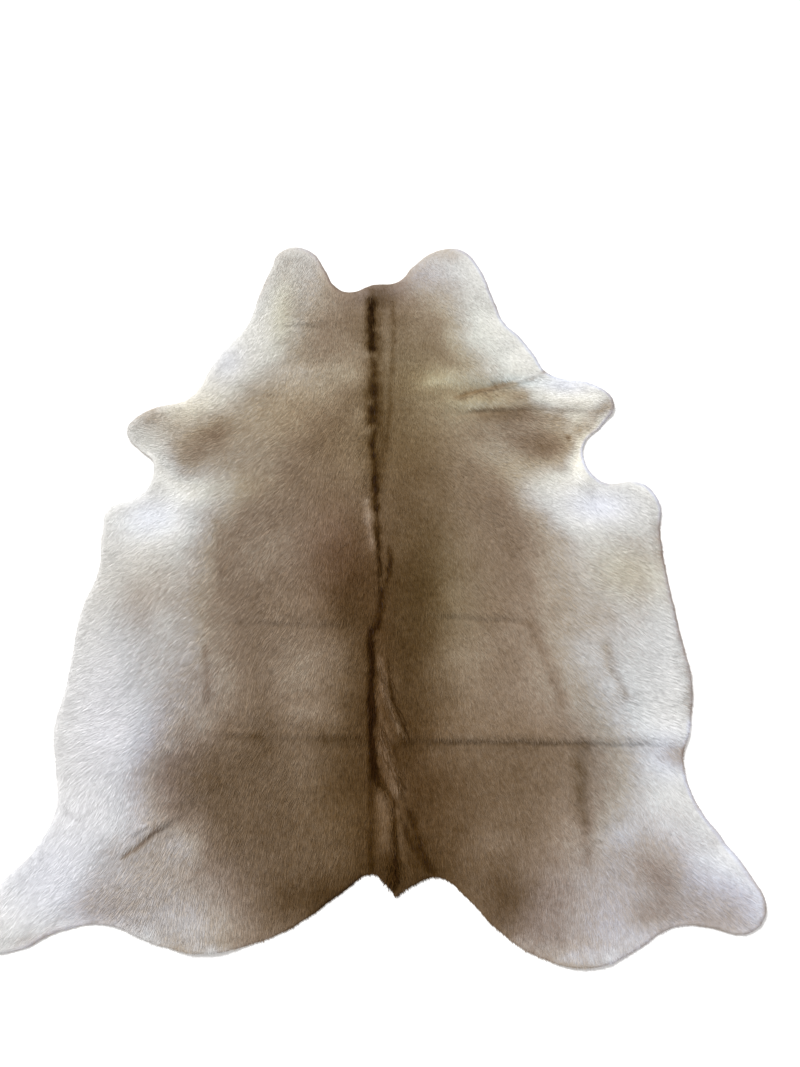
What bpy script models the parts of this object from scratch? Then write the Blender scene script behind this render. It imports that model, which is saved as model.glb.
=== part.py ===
"""Cowhide rug: one whole tanned hide with its hair on, lying flat, hair side up.

Units are metres and +Z is up. The neck points to +Y and the tail to -Y. The
origin is on the floor, under the middle of the hide's bounding box.

The tables give places as a hide grader would: "out" is the distance from the
spine line, to the right seen from the tail, and "along" is the distance from the
tail point towards the neck.
"""

import math
from typing import NamedTuple

import bmesh
import bpy
from mathutils import Vector
from mathutils.geometry import delaunay_2d_cdt, intersect_point_line

SPINE_LENGTH = 1.905
LEATHER_THICKNESS = 0.0025
NAP_DEPTH = 0.0035
HIDE_THICKNESS = LEATHER_THICKNESS + NAP_DEPTH

RIM_STEPS = 5
RIM_MIN_SPACING = 0.006
GRID_STEP = 0.038
FOLD_STEP = 0.026
RIM_CLEARANCE = 0.015
FOLD_CLEARANCE = 0.010
GRID_CLEARANCE = 0.022
MERGE_DISTANCE = 0.00001

LESSER_RISE_SHARE = 0.5
CREST_WANDER = 0.0035
CREST_WAVELENGTH = 0.21
HEIGHT_UNEVENNESS = 0.22
HEIGHT_WAVELENGTH = 0.16
COAT_COLOUR = (0.33, 0.26, 0.20, 1.0)
COAT_ROUGHNESS = 0.62


class Landmark(NamedTuple):
    """One spot of the outline, as found on the right and on the left side."""

    name: str
    right_out: float
    right_along: float
    left_out: float
    left_along: float
    corner: bool = False


class Fold(NamedTuple):
    """A soft ridge left by folding: its crest line, height and two slopes.

    The slopes are the widths of its left and right sides, seen from its start.
    The crest wanders a little about the line, and its height is uneven.
    """

    name: str
    start: tuple
    end: tuple
    height: float
    left_slope: float
    right_slope: float


class Swell(NamedTuple):
    """A low rise, or a lifted bit of edge, on an oval patch of the hide."""

    name: str
    centre: tuple
    half_out: float
    half_along: float
    height: float


NECK_EDGE = [
    Landmark("notch", -0.072, 1.878, -0.072, 1.878),
    Landmark("crest", 0.000, SPINE_LENGTH, 0.000, SPINE_LENGTH),
]
TAIL_EDGE = [
    Landmark("tail_point", 0.000, 0.000, 0.000, 0.000, corner=True),
]
SIDES = [
    Landmark("neck_root", 0.086, 1.917, 0.121, 1.899),
    Landmark("lobe_inner", 0.144, 1.984, 0.163, 1.986),
    Landmark("lobe_top_inner", 0.230, 2.048, 0.220, 2.070),
    Landmark("lobe_top_outer", 0.310, 2.045, 0.300, 2.073),
    Landmark("lobe_shoulder", 0.371, 1.957, 0.349, 1.979),
    Landmark("lobe_side", 0.404, 1.826, 0.379, 1.889),
    Landmark("neck_side", 0.435, 1.718, 0.422, 1.748),
    Landmark("neck_low", 0.475, 1.669, 0.482, 1.668),
    Landmark("neck_foot", 0.508, 1.606, 0.524, 1.596),
    Landmark("foreleg_root", 0.548, 1.522, 0.591, 1.474),
    Landmark("foreleg_top", 0.703, 1.460, 0.720, 1.427),
    Landmark("foreleg_tip", 0.745, 1.392, 0.775, 1.355),
    Landmark("foreleg_under", 0.694, 1.313, 0.734, 1.290),
    Landmark("armpit_top", 0.633, 1.253, 0.688, 1.248),
    Landmark("armpit", 0.624, 1.183, 0.682, 1.215),
    Landmark("armpit_foot", 0.668, 1.116, 0.694, 1.156),
    Landmark("flank_corner_inner", 0.781, 1.108, 0.731, 1.122),
    Landmark("flank_corner", 0.824, 1.046, 0.806, 1.087),
    Landmark("flank_top", 0.812, 0.935, 0.815, 1.020),
    Landmark("flank_high", 0.808, 0.765, 0.814, 0.895),
    Landmark("flank_middle", 0.813, 0.643, 0.846, 0.775),
    Landmark("belly", 0.818, 0.502, 0.865, 0.560),
    Landmark("flank_low", 0.792, 0.376, 0.879, 0.429),
    Landmark("waist", 0.757, 0.292, 0.866, 0.352),
    Landmark("thigh_front", 0.768, 0.197, 0.851, 0.244),
    Landmark("thigh_middle", 0.825, 0.089, 0.884, 0.157),
    Landmark("toe_front", 0.869, 0.016, 0.963, 0.071),
    Landmark("toe_tip", 0.889, -0.068, 1.020, -0.010),
    Landmark("toe_back", 0.835, -0.117, 0.990, -0.072),
    Landmark("bay_outer", 0.752, -0.102, 0.915, -0.079),
    Landmark("bay_middle", 0.683, -0.092, 0.789, -0.036),
    Landmark("bay_inner", 0.628, -0.107, 0.698, -0.030),
    Landmark("buttock_side", 0.574, -0.136, 0.580, -0.076),
    Landmark("buttock_low", 0.447, -0.173, 0.466, -0.103),
    Landmark("buttock_inner", 0.335, -0.146, 0.320, -0.081),
    Landmark("rump_outer", 0.245, -0.088, 0.218, -0.039),
    Landmark("rump_inner", 0.170, -0.008, 0.121, 0.021),
    Landmark("tail_rise", 0.105, 0.040, 0.056, 0.054),
    Landmark("tail_side", 0.040, 0.023, 0.025, 0.030),
]

FOLDS = [
    Fold("back_fold_right", (0.045, 0.380), (0.775, 0.340), 0.0080, 0.080, 0.022),
    Fold("back_fold_left", (-0.030, 0.386), (-0.345, 0.432), 0.0045, 0.030, 0.075),
    Fold("thigh_crease", (0.478, 0.325), (0.460, 0.050), 0.0065, 0.028, 0.075),
    Fold("foreleg_roll_right", (0.235, 1.418), (0.700, 1.400), 0.0130, 0.070, 0.026),
    Fold("neck_roll_right", (0.190, 1.470), (0.545, 1.560), 0.0070, 0.080, 0.034),
    Fold("foreleg_roll_left", (-0.500, 1.400), (-0.740, 1.385), 0.0080, 0.055, 0.075),
    Fold("haunch_diagonal", (-0.700, 0.118), (-0.500, 0.262), 0.0085, 0.075, 0.024),
    Fold("haunch_pleat", (-0.640, 0.345), (-0.545, 0.415), 0.0050, 0.055, 0.026),
    Fold("left_flank_pleat", (-0.470, 0.735), (-0.476, 0.520), 0.0045, 0.028, 0.060),
    Fold("left_back_pleat", (-0.465, 0.742), (-0.070, 0.712), 0.0035, 0.055, 0.030),
    Fold("right_back_pleat", (0.120, 0.735), (0.420, 0.706), 0.0035, 0.055, 0.030),
    Fold("right_flank_pleat_inner", (0.395, 0.690), (0.440, 0.520), 0.0045, 0.055, 0.028),
    Fold("right_flank_pleat_outer", (0.590, 0.625), (0.630, 0.450), 0.0060, 0.060, 0.030),
    Fold("left_shoulder_pleat", (-0.470, 1.050), (-0.460, 0.850), 0.0035, 0.050, 0.030),
    Fold("neck_wrinkle_high", (-0.350, 1.760), (-0.150, 1.752), 0.0035, 0.050, 0.028),
    Fold("neck_wrinkle_low", (-0.440, 1.510), (-0.290, 1.482), 0.0035, 0.050, 0.028),
    Fold("crest_wrinkle", (0.088, 1.830), (0.072, 1.320), 0.0035, 0.045, 0.030),
    Fold("spine_high", (0.000, 1.880), (0.000, 0.960), 0.0040, 0.075, 0.055),
    Fold("spine_low", (-0.020, 0.700), (-0.010, 0.090), 0.0045, 0.055, 0.075),
]

SWELLS = [
    Swell("right_lobe_edge", (0.330, 2.010), 0.120, 0.110, 0.0060),
    Swell("left_lobe_edge", (-0.275, 2.040), 0.110, 0.100, 0.0060),
    Swell("right_foreleg_tip", (0.735, 1.385), 0.090, 0.085, 0.0080),
    Swell("left_foreleg_tip", (-0.765, 1.355), 0.090, 0.080, 0.0090),
    Swell("right_armpit_rim", (0.635, 1.180), 0.075, 0.120, 0.0100),
    Swell("left_armpit_rim", (-0.680, 1.215), 0.080, 0.110, 0.0100),
    Swell("right_flank_corner", (0.800, 1.040), 0.100, 0.110, 0.0060),
    Swell("left_flank_corner", (-0.790, 1.060), 0.100, 0.110, 0.0050),
    Swell("right_flank_edge", (0.820, 0.740), 0.070, 0.120, 0.0055),
    Swell("right_belly_edge", (0.825, 0.490), 0.080, 0.110, 0.0070),
    Swell("left_flank_edge", (-0.850, 0.760), 0.075, 0.130, 0.0050),
    Swell("left_belly_edge", (-0.885, 0.420), 0.080, 0.110, 0.0060),
    Swell("right_waist_edge", (0.760, 0.270), 0.070, 0.070, 0.0060),
    Swell("right_haunch", (0.660, 0.010), 0.120, 0.075, 0.0080),
    Swell("right_toe_edge", (0.890, -0.060), 0.090, 0.080, 0.0070),
    Swell("left_toe_edge", (-1.000, -0.010), 0.100, 0.090, 0.0070),
    Swell("right_buttock_edge", (0.460, -0.170), 0.120, 0.080, 0.0060),
    Swell("left_buttock_edge", (-0.450, -0.100), 0.120, 0.080, 0.0060),
    Swell("left_haunch", (-0.640, 0.030), 0.110, 0.080, 0.0055),
]


def clear_scene():
    """Remove whatever objects the open file holds."""
    for obj in list(bpy.data.objects):
        bpy.data.objects.remove(obj, do_unlink=True)


def outline_landmarks():
    """Return (x, y, corner) clockwise: neck edge, right side, tail, left side."""
    route = [(mark.right_out, mark.right_along, mark.corner) for mark in NECK_EDGE]
    route += [(mark.right_out, mark.right_along, mark.corner) for mark in SIDES]
    route += [(mark.right_out, mark.right_along, mark.corner) for mark in TAIL_EDGE]
    route += [(-mark.left_out, mark.left_along, mark.corner) for mark in reversed(SIDES)]
    return route


def outline_rim(collection):
    """Sample a closed guide curve through the landmarks into rim points."""
    curve = bpy.data.curves.new("outline_guide", "CURVE")
    curve.dimensions = "2D"
    curve.fill_mode = "NONE"
    curve.resolution_u = RIM_STEPS
    landmarks = outline_landmarks()
    spline = curve.splines.new("BEZIER")
    spline.bezier_points.add(len(landmarks) - 1)
    spline.use_cyclic_u = True
    for point, (x, y, corner) in zip(spline.bezier_points, landmarks):
        point.co = (x, y, 0.0)
        handle = "VECTOR" if corner else "AUTO"
        point.handle_left_type = handle
        point.handle_right_type = handle
    guide = bpy.data.objects.new("outline_guide", curve)
    guide.hide_render = True
    guide.display_type = "WIRE"
    collection.objects.link(guide)
    bpy.context.view_layer.update()
    sampled = bpy.data.meshes.new_from_object(guide.evaluated_get(bpy.context.evaluated_depsgraph_get()))
    rim = []
    for vertex in sampled.vertices:
        spot = vertex.co.xy
        if not rim or (spot - rim[-1]).length > RIM_MIN_SPACING:
            rim.append(spot)
    bpy.data.meshes.remove(sampled)
    return rim


def box_middle(rim):
    """Return the middle of the rim's bounding box."""
    xs = [spot.x for spot in rim]
    ys = [spot.y for spot in rim]
    return Vector(((min(xs) + max(xs)) / 2, (min(ys) + max(ys)) / 2))


def is_inside(spot, rim):
    """Tell whether a spot lies inside the rim, by counting crossings."""
    inside = False
    before = rim[-1]
    for here in rim:
        if (here.y > spot.y) != (before.y > spot.y):
            crossing = before.x + (spot.y - before.y) * (here.x - before.x) / (here.y - before.y)
            if spot.x < crossing:
                inside = not inside
        before = here
    return inside


def rim_distance(spot, rim):
    """Return the distance from a spot to the nearest stretch of the rim."""
    nearest = math.inf
    before = rim[-1]
    for here in rim:
        foot, share = intersect_point_line(spot, before, here)
        if share < 0:
            foot = before
        elif share > 1:
            foot = here
        nearest = min(nearest, (spot - foot.xy).length)
        before = here
    return nearest


def bell(share):
    """Return a soft hump: 1 at a share of 0, falling level to 0 at 1."""
    if share >= 1:
        return 0.0
    return 0.5 + 0.5 * math.cos(math.pi * share)


def fold_wave(fold, along, wavelength):
    """Return a wave from -1 to 1 along a fold, at its own place on each fold."""
    shift = fold.start[0] + fold.start[1]
    return math.sin(math.tau * (along / wavelength + shift))


def crest_wander(fold, along):
    """Return how far a fold's crest wanders to the left of its line."""
    return CREST_WANDER * fold_wave(fold, along, CREST_WAVELENGTH)


def fold_height(fold, spot):
    """Return the height of a fold's ridge over a spot."""
    start = Vector(fold.start)
    run = Vector(fold.end) - start
    length = run.length
    run.normalize()
    offset = spot - start
    along = offset.dot(run)
    side = run.x * offset.y - run.y * offset.x - crest_wander(fold, along)
    slope = fold.left_slope if side > 0 else fold.right_slope
    past_end = max(-along, along - length, 0.0)
    reach = (fold.left_slope + fold.right_slope) / 2
    height = fold.height * (1 + HEIGHT_UNEVENNESS * fold_wave(fold, along, HEIGHT_WAVELENGTH))
    return height * bell(abs(side) / slope) * bell(past_end / reach)


def swell_height(swell, spot):
    """Return the height of a swell over a spot."""
    out = (spot.x - swell.centre[0]) / swell.half_out
    along = (spot.y - swell.centre[1]) / swell.half_along
    return swell.height * bell(math.hypot(out, along))


def relief(spot):
    """Return how high the hide's underside stands off the floor at a spot."""
    ridge = max(fold_height(fold, spot) for fold in FOLDS)
    rise = max(swell_height(swell, spot) for swell in SWELLS)
    return max(ridge, rise) + LESSER_RISE_SHARE * min(ridge, rise)


def fold_points():
    """Return points in rows along each fold's crest, slopes and feet."""
    points = []
    for fold in FOLDS:
        start = Vector(fold.start)
        run = Vector(fold.end) - start
        length = run.length
        steps = max(2, round(length / FOLD_STEP))
        across = Vector((-run.y, run.x)).normalized()
        offsets = (0.0, fold.left_slope, -fold.right_slope, fold.left_slope / 2, -fold.right_slope / 2)
        for offset in offsets:
            for step in range(-1, steps + 2):
                share = step / steps
                side = offset + crest_wander(fold, share * length)
                points.append(start + run * share + across * side)
    return points


def grid_points(rim):
    """Return a grid of evenly staggered points over the rim's bounding box."""
    row_step = GRID_STEP * math.sqrt(3) / 2
    left = min(spot.x for spot in rim)
    right = max(spot.x for spot in rim)
    low = min(spot.y for spot in rim)
    high = max(spot.y for spot in rim)
    points = []
    for row in range(int((high - low) / row_step) + 1):
        stagger = GRID_STEP / 2 * (row % 2)
        for column in range(int((right - left) / GRID_STEP) + 1):
            points.append(Vector((left + stagger + column * GRID_STEP, low + row * row_step)))
    return points


def cell_of(spot):
    """Return the square of the plan that a spot lies in."""
    return math.floor(spot.x / GRID_CLEARANCE), math.floor(spot.y / GRID_CLEARANCE)


def is_crowded(spot, cells, clearance):
    """Tell whether a point already picked lies within the clearance of a spot."""
    column, row = cell_of(spot)
    for near_column in range(column - 1, column + 2):
        for near_row in range(row - 1, row + 2):
            for other in cells.get((near_column, near_row), ()):
                if (spot - other).length < clearance:
                    return True
    return False


def inner_points(rim):
    """Pick the folds' points and then the grid's, none too near the rest."""
    picked = []
    cells = {}
    for candidates, clearance in ((fold_points(), FOLD_CLEARANCE), (grid_points(rim), GRID_CLEARANCE)):
        for spot in candidates:
            if is_crowded(spot, cells, clearance) or not is_inside(spot, rim):
                continue
            if rim_distance(spot, rim) > RIM_CLEARANCE:
                picked.append(spot)
                cells.setdefault(cell_of(spot), []).append(spot)
    return picked


def sheet_mesh(rim, middle):
    """Triangulate the hide's underside and lift it into its folds and swells."""
    spots = rim + inner_points(rim)
    edges = [(index, (index + 1) % len(rim)) for index in range(len(rim))]
    inside_only = 1
    flat, _, faces, _, _, _ = delaunay_2d_cdt(spots, edges, [], inside_only, MERGE_DISTANCE)
    mesh = bpy.data.meshes.new("hide")
    mesh.from_pydata([(spot.x - middle.x, spot.y - middle.y, relief(spot)) for spot in flat], [], faces)
    return mesh


def face_upwards(mesh):
    """Turn every face of the open sheet to look up, and drop loose points."""
    bm = bmesh.new()
    bm.from_mesh(mesh)
    loose = [vertex for vertex in bm.verts if not vertex.link_faces]
    bmesh.ops.delete(bm, geom=loose, context="VERTS")
    bmesh.ops.recalc_face_normals(bm, faces=bm.faces)
    if sum(face.normal.z for face in bm.faces) < 0:
        bmesh.ops.reverse_faces(bm, faces=bm.faces)
    bm.to_mesh(mesh)
    bm.free()


def hide_material():
    """Return the hide's plain coat material."""
    material = bpy.data.materials.new("cowhide_coat")
    material.use_nodes = True
    shader = material.node_tree.nodes["Principled BSDF"]
    shader.inputs["Base Color"].default_value = COAT_COLOUR
    shader.inputs["Roughness"].default_value = COAT_ROUGHNESS
    shader.inputs["Metallic"].default_value = 0.0
    return material


def build_hide(parts, guides):
    """Build the hide: one uneven sheet, thickened upwards from its underside."""
    rim = outline_rim(guides)
    mesh = sheet_mesh(rim, box_middle(rim))
    face_upwards(mesh)
    mesh.materials.append(hide_material())
    hide = bpy.data.objects.new("hide", mesh)
    parts.objects.link(hide)
    skin = hide.modifiers.new("thickness", "SOLIDIFY")
    skin.thickness = HIDE_THICKNESS
    skin.offset = 1.0
    skin.use_even_offset = True
    return hide


def main():
    """Model the hide in its own collection."""
    clear_scene()
    parts = bpy.data.collections.new("cowhide_rug")
    guides = bpy.data.collections.new("guides")
    bpy.context.scene.collection.children.link(parts)
    bpy.context.scene.collection.children.link(guides)
    build_hide(parts, guides)


main()
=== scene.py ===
"""Looks of the cowhide rug: its leather, its short coat of hair and a plain studio.

Units are metres and +Z is up. The neck points to +Y and the tail to -Y. The tables
give places as a hide grader would: "out" is the distance from the spine line, to the
right seen from the tail, and "along" is the distance from the tail point towards the
neck. Tones of the coat run from 0, black, to 1, white.
"""

from __future__ import annotations

import logging
import math
from dataclasses import dataclass, field
from enum import Enum
from typing import NamedTuple, Sequence

import bmesh
import bpy
import numpy as np
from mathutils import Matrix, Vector
from mathutils.bvhtree import BVHTree
from mathutils.geometry import delaunay_2d_cdt

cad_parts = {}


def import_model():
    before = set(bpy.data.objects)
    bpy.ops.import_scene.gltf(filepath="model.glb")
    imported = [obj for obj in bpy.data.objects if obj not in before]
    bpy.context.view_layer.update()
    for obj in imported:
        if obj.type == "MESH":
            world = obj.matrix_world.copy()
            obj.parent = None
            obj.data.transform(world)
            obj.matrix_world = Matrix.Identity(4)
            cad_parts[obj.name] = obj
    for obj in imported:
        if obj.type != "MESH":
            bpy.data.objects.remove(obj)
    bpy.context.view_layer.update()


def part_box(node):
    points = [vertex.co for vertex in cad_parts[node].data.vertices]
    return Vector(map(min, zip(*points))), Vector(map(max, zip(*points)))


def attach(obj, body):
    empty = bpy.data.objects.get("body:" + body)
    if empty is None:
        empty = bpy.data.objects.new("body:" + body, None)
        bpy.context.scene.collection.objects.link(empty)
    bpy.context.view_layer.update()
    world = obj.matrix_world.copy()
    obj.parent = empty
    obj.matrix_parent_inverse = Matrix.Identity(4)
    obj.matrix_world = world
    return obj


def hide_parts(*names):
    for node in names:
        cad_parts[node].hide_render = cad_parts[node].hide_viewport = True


LOG = logging.getLogger("cowhide")

HIDE_NODE = "hide"
HIDE_BODY = "root"
BAKE_MAP = "OFBake"
BELL_SHARPNESS = 1.4
TINY = 1e-9
LAST_CELL = 1.001
SAME_SPOT = 1e-7
FILL_INSIDE = 1
RIM_TOLERANCE = 1e-6
MAP_REACH = 0.03

Socket = bpy.types.NodeSocket
Pair = tuple[np.ndarray, np.ndarray]
Route = tuple[tuple[float, float], ...]
Colour = tuple[float, float, float, float]
Feeds = dict[str | int, object]
Surface = tuple[Socket, Socket | None]


class SheetFace(Enum):
    """The three surfaces of the leather, in the order of its material slots."""

    HAIR = 0
    FLESH = 1
    CUT = 2


class CoatBand(Enum):
    """The lengths of the hide that carry a hair mesh each, as (from, to) along."""

    RUMP = (-0.30, 0.335)
    LOIN = (0.335, 0.755)
    SHOULDER = (0.755, 1.225)
    NECK = (1.225, 2.20)


class LockDraw(Enum):
    """The random draws of a lock, each with its own seed."""

    LOOK = 1
    PITCH = 2
    SPLAY = 3
    DEPTH = 4
    WIDTH = 5
    LENGTH = 6


class Station(NamedTuple):
    """The coat across the hide at one distance from the tail.

    The saddle goes from the spine's tone to the back's, keeps it as far out as
    start, and has turned pale at end, on either side.
    """

    name: str
    along: float
    spine_tone: float
    back_tone: float
    left_start: float
    left_end: float
    right_start: float
    right_end: float


class Patch(NamedTuple):
    """A soft oval of the coat that is lighter or darker than what is round it. A few carry painted shade."""

    name: str
    out: float
    along: float
    half_out: float
    half_along: float
    shift: float


class Streak(NamedTuple):
    """A soft line of lighter or darker tone along a short route. Most are lines in the hair; those at creases
    and rims are painted shade or light.
    """

    name: str
    route: Route
    half_width: float
    shift: float


class Tint(NamedTuple):
    """A soft oval of the coat that leans to another hue.

    Warmth above 0 is yellower and below 0 bluer. Ruddiness above 0 is redder and
    below 0 more olive.
    """

    name: str
    out: float
    along: float
    half_out: float
    half_along: float
    warmth: float
    ruddiness: float


class LayGuide(NamedTuple):
    """The way hair points near a spot of the right side, mirrored on the left.

    A heading of 0 degrees points away from the spine, and -90 points to the tail.
    """

    name: str
    out: float
    along: float
    reach: float
    heading_deg: float
    length_share: float


class Crease(NamedTuple):
    """A narrow ridge, or a trough where its height is negative, along a route.

    The slopes are the widths of its left and right sides, seen from its start.
    """

    name: str
    route: Route
    height: float
    left_slope: float
    right_slope: float


class Shade(NamedTuple):
    """One stop of the coat's range of colours."""

    name: str
    tone: float
    colour: Colour


class Wisps(NamedTuple):
    """A family of longer, wavier locks that lie along one route."""

    name: str
    route: Route
    count: int
    length: float
    spread: float
    half_width: float
    tone_shift: float
    wave: float


class Grain(NamedTuple):
    """How close, how detailed and how rough a fine unevenness is."""

    scale: float
    detail: float
    roughness: float = 0.5


class Mottle(NamedTuple):
    """One size of the coat's fine unevenness of tone."""

    name: str
    grain: Grain
    strength: float


STATIONS = (
    Station("lobes", 2.06, 0.62, 0.70, 0.10, 0.40, 0.12, 0.36),
    Station("nape", 1.90, 0.46, 0.60, 0.14, 0.38, 0.08, 0.38),
    Station("upper_neck", 1.75, 0.43, 0.48, 0.15, 0.38, 0.15, 0.37),
    Station("lower_neck", 1.60, 0.45, 0.52, 0.20, 0.44, 0.20, 0.45),
    Station("shoulder", 1.45, 0.38, 0.55, 0.32, 0.60, 0.36, 0.62),
    Station("forelegs", 1.30, 0.37, 0.50, 0.44, 0.76, 0.46, 0.76),
    Station("armpits", 1.15, 0.37, 0.45, 0.34, 0.60, 0.30, 0.56),
    Station("withers", 1.00, 0.37, 0.46, 0.42, 0.64, 0.36, 0.60),
    Station("back", 0.85, 0.28, 0.45, 0.42, 0.84, 0.38, 0.70),
    Station("loin", 0.65, 0.26, 0.46, 0.38, 0.82, 0.42, 0.74),
    Station("hips", 0.50, 0.25, 0.47, 0.38, 0.78, 0.42, 0.74),
    Station("croup", 0.35, 0.25, 0.38, 0.46, 0.74, 0.42, 0.72),
    Station("rump", 0.20, 0.25, 0.37, 0.42, 0.78, 0.36, 0.72),
    Station("thighs", 0.05, 0.22, 0.35, 0.28, 0.84, 0.26, 0.84),
    Station("buttocks", -0.10, 0.22, 0.42, 0.24, 0.72, 0.24, 0.74),
)

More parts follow.
